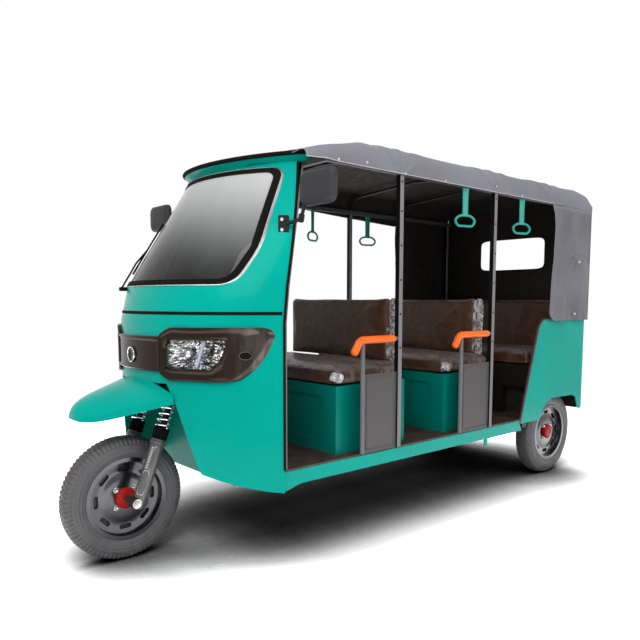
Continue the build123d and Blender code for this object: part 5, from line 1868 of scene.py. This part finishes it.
def studs_shape():
    """Small dome studs along the hem."""
    shapes = []
    profile = [(0, 0.0001), (0, 0.0060), (0.0012, 0.0060), (0.0016, 0.0040), (0.0034, 0.0034),
               (0.0044, 0.0020), (0.0048, 0.0001)]
    for y, lift in STUDS:
        for side in (1, -1):
            drop = hem_drop(y) if side < 0 else 0.0
            foot = (side * (CANOPY_X + 0.0030), y, RAIL_Z + lift - drop)
            shapes.append(lathe(profile, foot, (side, 0, 0), 14))
    return join(*shapes)


EYELETS = ((2.697, 1.312), (2.661, 0.996))   # Y and Z


def eyelets_shape():
    """Metal eyelets in the side flaps."""
    shapes = []
    for y, z in EYELETS:
        circle = ring_outline(0.006, 24) + [y, z]
        path = np.stack([np.full(24, CANOPY_X + 0.0100), circle[:, 0], circle[:, 1]], axis=1)
        shapes.append(tube(path, 0.0022, 8, closed=True, up=(1, 0, 0)))
    return both_sides(join(*shapes))


SCREW_LEVELS = (0.86, 1.013, 1.166, 1.320, 1.470, 1.600)


def pillar_screws_shape():
    """Small dark screw heads down the outer face of each pillar."""
    profile = [(0, 0.0001), (0, 0.0052), (0.0012, 0.0048), (0.0016, 0.0001)]
    feet = [(RAIL_X - 0.0003, y, z) for y in PILLARS for z in SCREW_LEVELS]
    return both_sides(join(*[lathe(profile, foot, (1, 0, 0), 12) for foot in feet]))


GUARD_X, GUARD_LOW, GUARD_TOP = RAIL_X - 0.009, FLOOR_TOP + 0.001, 0.750
GUARDS = ((0.8732, 1.078), (1.5732, 1.805))   # front and rear edge of each panel


def guard_frames_shape():
    """Folded edges of the guard panels: a flat bead a little inside each panel's outline."""
    shapes = []
    for y0, y1 in GUARDS:
        outline = rounded_outline((y1 - y0) / 2 - 0.012, (GUARD_TOP - GUARD_LOW) / 2 - 0.014, 0.006, 5)
        centre = np.array([(y0 + y1) / 2, (GUARD_TOP + GUARD_LOW) / 2])
        path = resample(outline + centre, 120, closed=True)
        path = np.stack([np.full(len(path), GUARD_X + 0.0002), path[:, 0], path[:, 1]], axis=1)
        shapes.append(tube(path, 0.0032, 8, closed=True, up=(1, 0, 0)))
    return both_sides(join(*shapes))


def ring_path(centre_x, centre_z, radius, out):
    """A circle in front view, laid at one height over the skin."""
    return on_cab(ring_outline(radius, 40) + [centre_x, centre_z], out)


def sill_bracket_shape():
    """A small folded tab that hangs under the left sill."""
    outline = rounded_outline(0.015, 0.024, 0.005, 5)
    rings = [(0.9, 0.0), (1.0, 0.001), (1.0, 0.005), (0.9, 0.006), (0.02, 0.006)]
    return dome(outline, rings, (SILL_X - 0.012, 1.812, 0.318), (0, 1, 0), (0, 0, 1))


# ------------------------------------------------------------------ operators
class RickshawOperator:
    """What the operators share: they finish or raise an error."""
    bl_options = {"REGISTER", "UNDO"}


class RICKSHAW_OT_stage(RickshawOperator, bpy.types.Operator):
    """Pale floor, even light, soft lamps and the camera"""
    bl_idname = "rickshaw.stage"
    bl_label = "Studio"

    def execute(self, context):
        stage = context.scene.rickshaw_stage
        make_world(stage.world_level)
        make_floor(stage)
        make_lamp("key_lamp", (2.6, -3.6, 4.2), (0.0, 0.0, 0.8), (2.6, 2.6), stage.key_power)
        make_lamp("side_lamp", (5.2, 1.6, 2.6), (0.0, 0.2, 0.9), (2.4, 2.0), stage.fill_power)
        make_camera()
        context.scene.view_settings.view_transform = "Standard"
        return {"FINISHED"}


class RICKSHAW_OT_solids(RickshawOperator, bpy.types.Operator):
    """Paint, plastic and metal finishes of the solids that keep their shapes"""
    bl_idname = "rickshaw.solids"
    bl_label = "Painted solids"

    def execute(self, context):
        for name, finish_name in PLAIN_NODES.items():
            node_finish(name, finish_name)
        for name, finish_name in SMOOTH_NODES.items():
            node_copy(name, finish_name)
        for name, (finish_name, outs) in CAB_NODES.items():
            cab_copy(name, finish_name, outs)
        return {"FINISHED"}


class RICKSHAW_OT_canopy(RickshawOperator, bpy.types.Operator):
    """Canopy cloth over the bows, side flaps and the rear curtain with its window"""
    bl_idname = "rickshaw.canopy"
    bl_label = "Canopy"

    def execute(self, context):
        roof = make_cloth("canopy_cloth_roof", canopy_outline(), flip=True)
        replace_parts(roof, "canopy_roof")
        left = make_cloth("side_flap_left", flap_points(WHEELBASE - LEFT_FLAP_AHEAD, 1), flip=True)
        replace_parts(left, "side_flaps")
        make_cloth("side_flap_right", flap_points(WHEELBASE - RIGHT_FLAP_AHEAD, -1))
        flat = (2 * (SILL_X + 0.005), CURTAIN_TOP - BODY_TOP)
        back = make_cloth("rear_curtain_cloth", curtain_points(), wrap=True, flat=flat)
        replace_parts(back, "rear_curtain")
        return {"FINISHED"}


class RICKSHAW_OT_seats(RickshawOperator, bpy.types.Operator):
    """Seat cushions and backs in their covers, with bunched film at their ends"""
    bl_idname = "rickshaw.seats"
    bl_label = "Seats"

    def execute(self, context):
        make_pads()
        for i, y in enumerate(BACK_FILM_Y):
            film_bundle("back_end_film_%d" % i, (0.3935, y, 0.925), (0, 0, 1), (0.160, 0.0055, 0.024),
                        1.0 + i, blunt=0.25)
        for i, y in enumerate(CUSHION_FILM_Y):
            film_bundle("cushion_film_%d" % i, (BENCH_HALF - 0.006, y, 0.738), (0.5, 1.0, -0.35),
                        (0.030, 0.013, 0.022), 3.0 + i, blunt=0.5)
        return {"FINISHED"}


class RICKSHAW_OT_wheels(RickshawOperator, bpy.types.Operator):
    """Tyres with their tread, wheel nuts and brake drums"""
    bl_idname = "rickshaw.wheels"
    bl_label = "Wheels"

    def execute(self, context):
        for tag, (place, body, side) in WHEELS.items():
            tread = tyre_shape(place)
            tyre = make_piece("tyre_" + tag + "_tread", tread, "tyre_rubber", body=body, sharp=None)
            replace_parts(tyre, "tyre_" + tag)
            make_piece("wheel_nuts_" + tag, nuts_shape(place, side), "zinc", body=body, sharp=30.0)
            make_piece("brake_drum_" + tag, drum_shape(place, side), "dark_paint", body=body, sharp=40.0)
        return {"FINISHED"}


class RICKSHAW_OT_fork(RickshawOperator, bpy.types.Operator):
    """Fork springs, sliders, boots, the pale outlines on the fork legs and the axle's nuts"""
    bl_idname = "rickshaw.fork"
    bl_label = "Fork"

    def execute(self, context):
        springs = make_piece("fork_coils", both_legs(spring_shape), "chrome", body="steering", sharp=None)
        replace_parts(springs, "fork_springs")
        make_piece("fork_sliders", both_legs(slider_shape), "leg_metal", body="steering")
        make_piece("fork_boots", both_legs(boot_shape), "soft_rubber", body="steering", sharp=60.0)
        make_piece("fork_leg_marks", both_legs(leg_marks), "pale_line", body="steering", sharp=None)
        end_x = LEG_X + 0.025
        nuts = [axle_nut_shape(np.array([side * end_x, 0.0, TYRE_R]), side) for side in (1, -1)]
        make_piece("front_axle_nuts", join(*nuts), "zinc", body="steering")
        return {"FINISHED"}


class RICKSHAW_OT_mirrors(RickshawOperator, bpy.types.Operator):
    """Domed mirror shells and the bolted brackets of their arms"""
    bl_idname = "rickshaw.mirrors"
    bl_label = "Mirrors"

    def execute(self, context):
        heads = make_piece("mirror_shells", both_sides(mirror_head_shape()), "matt_plastic", sharp=40.0)
        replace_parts(heads, "mirror_heads")
        arms = make_piece("mirror_mounts", both_sides(mirror_mount_shape()), "dark_paint")
        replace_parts(arms, "mirror_arms")
        make_piece("mirror_bracket_bolts", both_sides(bracket_bolts()), "zinc")
        return {"FINISHED"}


class RICKSHAW_OT_lamps(RickshawOperator, bpy.types.Operator):
    """Reflectors, bulbs and dividers of the headlamps, their surrounds and the nose band"""
    bl_idname = "rickshaw.lamps"
    bl_label = "Headlamps"

    def execute(self, context):
        bowls = make_piece("lamp_reflectors", both_sides(reflector_shape()), "lamp_silver", sharp=20.0)
        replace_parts(bowls, "headlamp_units")
        surround = join(both_sides(bezel_shape()), nose_band_shape(), badge_shape())
        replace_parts(make_piece("lamp_surrounds", surround, "gloss_plastic", sharp=50.0), "lamp_bezels")
        make_piece("lamp_bulbs", both_sides(bulb_shapes()), "chrome")
        make_piece("lamp_dividers", both_sides(divider_shape()), "divider_grey", sharp=None)
        return {"FINISHED"}


class RICKSHAW_OT_handles(RickshawOperator, bpy.types.Operator):
    """Hanging grab handles"""
    bl_idname = "rickshaw.handles"
    bl_label = "Grab handles"

    def execute(self, context):
        shapes = [handle_shape(y, side, turn * side) for y, side, turn in HANDLES]
        loops = make_piece("grab_loops", join(*shapes), "handle_plastic", sharp=40.0)
        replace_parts(loops, "grab_handles")
        return {"FINISHED"}


class RICKSHAW_OT_trim(RickshawOperator, bpy.types.Operator):
    """Strips, beads, studs, screws and small fittings of the cab, the canopy and the body"""
    bl_idname = "rickshaw.trim"
    bl_label = "Trim"

    def execute(self, context):
        make_piece("cab_belt_strip", belt_shape(), "soft_rubber")
        edges = [tube(cab_edge_path(s), 0.0055, 10, up=(1, 0, 0)) for s in (1, -1)]
        make_piece("cab_rear_edge", join(*edges), "soft_rubber")
        edges = [tube(body_edge_path(s), 0.0075, 10, up=(1, 0, 0)) for s in (1, -1)]
        make_piece("rear_body_edge", join(*edges), "trim_brown")
        make_piece("screen_bead", screen_line_shape(), "zinc")
        make_piece("cap_rim_bead", tube(cap_rim_path(), 0.0090, 14), "soft_rubber")
        badge = tube(ring_path(0.0, BADGE_Z, 0.0300, 0.0182), 0.0022, 10, closed=True, up=(0, 1, 0))
        make_piece("badge_ring", badge, "chrome")
        # painted shade: black dished discs stand for the shade in the bezels' sunk plug holes
        recess_shade_disc = ring_outline(0.0135, 40) + [PLUG_X, PLUG_Z]
        recess_shade_disc = skin_boss(recess_shade_disc, [(1.12, 0.0122), (1.12, 0.0158), (1.0, 0.0164), (0.9, 0.0150),
                                    (0.86, 0.0131), (0.02, 0.0131)])
        make_piece("bezel_recess_shade_discs", both_sides(recess_shade_disc), "soft_rubber", sharp=50.0)
        # painted highlight: thin grey rings stand for the lit edge of each plug hole
        rings = [ring_path(side * PLUG_X, PLUG_Z, 0.0150, 0.0162) for side in (1, -1)]
        rings = [tube(ring, 0.0011, 8, closed=True, up=(0, 1, 0)) for ring in rings]
        make_piece("recess_highlight_rings", join(*rings), "leg_metal")
        # painted highlight: pale lines along the hems stand for the rail's lit lower edge
        hems = [tube(hem_path(side), 0.0024, 8, up=(1, 0, 0)) for side in (1, -1)]
        make_piece("canopy_hem_highlight_line", join(*hems), "hem_piping")
        make_piece("canopy_studs", studs_shape(), "zinc")
        make_piece("flap_eyelets", eyelets_shape(), "zinc")
        make_piece("pillar_screws", pillar_screws_shape(), "soft_rubber")
        make_piece("guard_frames", guard_frames_shape(), "guard_paint", sharp=None)
        make_piece("sill_bracket", sill_bracket_shape(), "body_paint")
        return {"FINISHED"}


PIECE_OPERATORS = (
    RICKSHAW_OT_stage,
    RICKSHAW_OT_solids,
    RICKSHAW_OT_canopy,
    RICKSHAW_OT_seats,
    RICKSHAW_OT_wheels,
    RICKSHAW_OT_fork,
    RICKSHAW_OT_mirrors,
    RICKSHAW_OT_lamps,
    RICKSHAW_OT_handles,
    RICKSHAW_OT_trim,
)


class RICKSHAW_PT_panel(bpy.types.Panel):
    """Lists the rickshaw's settings and its pieces"""
    bl_idname = "RICKSHAW_PT_panel"
    bl_label = "Passenger Rickshaw"
    bl_space_type = "VIEW_3D"
    bl_region_type = "UI"
    bl_category = "Rickshaw"

    def draw(self, context):
        for settings in (colours(), sizes(), context.scene.rickshaw_stage):
            box = self.layout.box()
            for key in settings.bl_rna.properties.keys():
                if key not in ("rna_type", "name"):
                    box.prop(settings, key)
        for operator in PIECE_OPERATORS:
            self.layout.operator(operator.bl_idname)


CLASSES = (RickshawColours, RickshawSizes, RickshawStage) + PIECE_OPERATORS + (RICKSHAW_PT_panel,)


def register():
    for cls in CLASSES:
        bpy.utils.register_class(cls)
    bpy.types.Scene.rickshaw_colours = PointerProperty(type=RickshawColours)
    bpy.types.Scene.rickshaw_sizes = PointerProperty(type=RickshawSizes)
    bpy.types.Scene.rickshaw_stage = PointerProperty(type=RickshawStage)


def unregister():
    del bpy.types.Scene.rickshaw_stage
    del bpy.types.Scene.rickshaw_sizes
    del bpy.types.Scene.rickshaw_colours
    for cls in reversed(CLASSES):
        bpy.utils.unregister_class(cls)


def main():
    """Registers the add-on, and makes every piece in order."""
    register()
    for operator in PIECE_OPERATORS:
        group, name = operator.bl_idname.split(".")
        getattr(getattr(bpy.ops, group), name)()


if __name__ == "__main__":
    main()
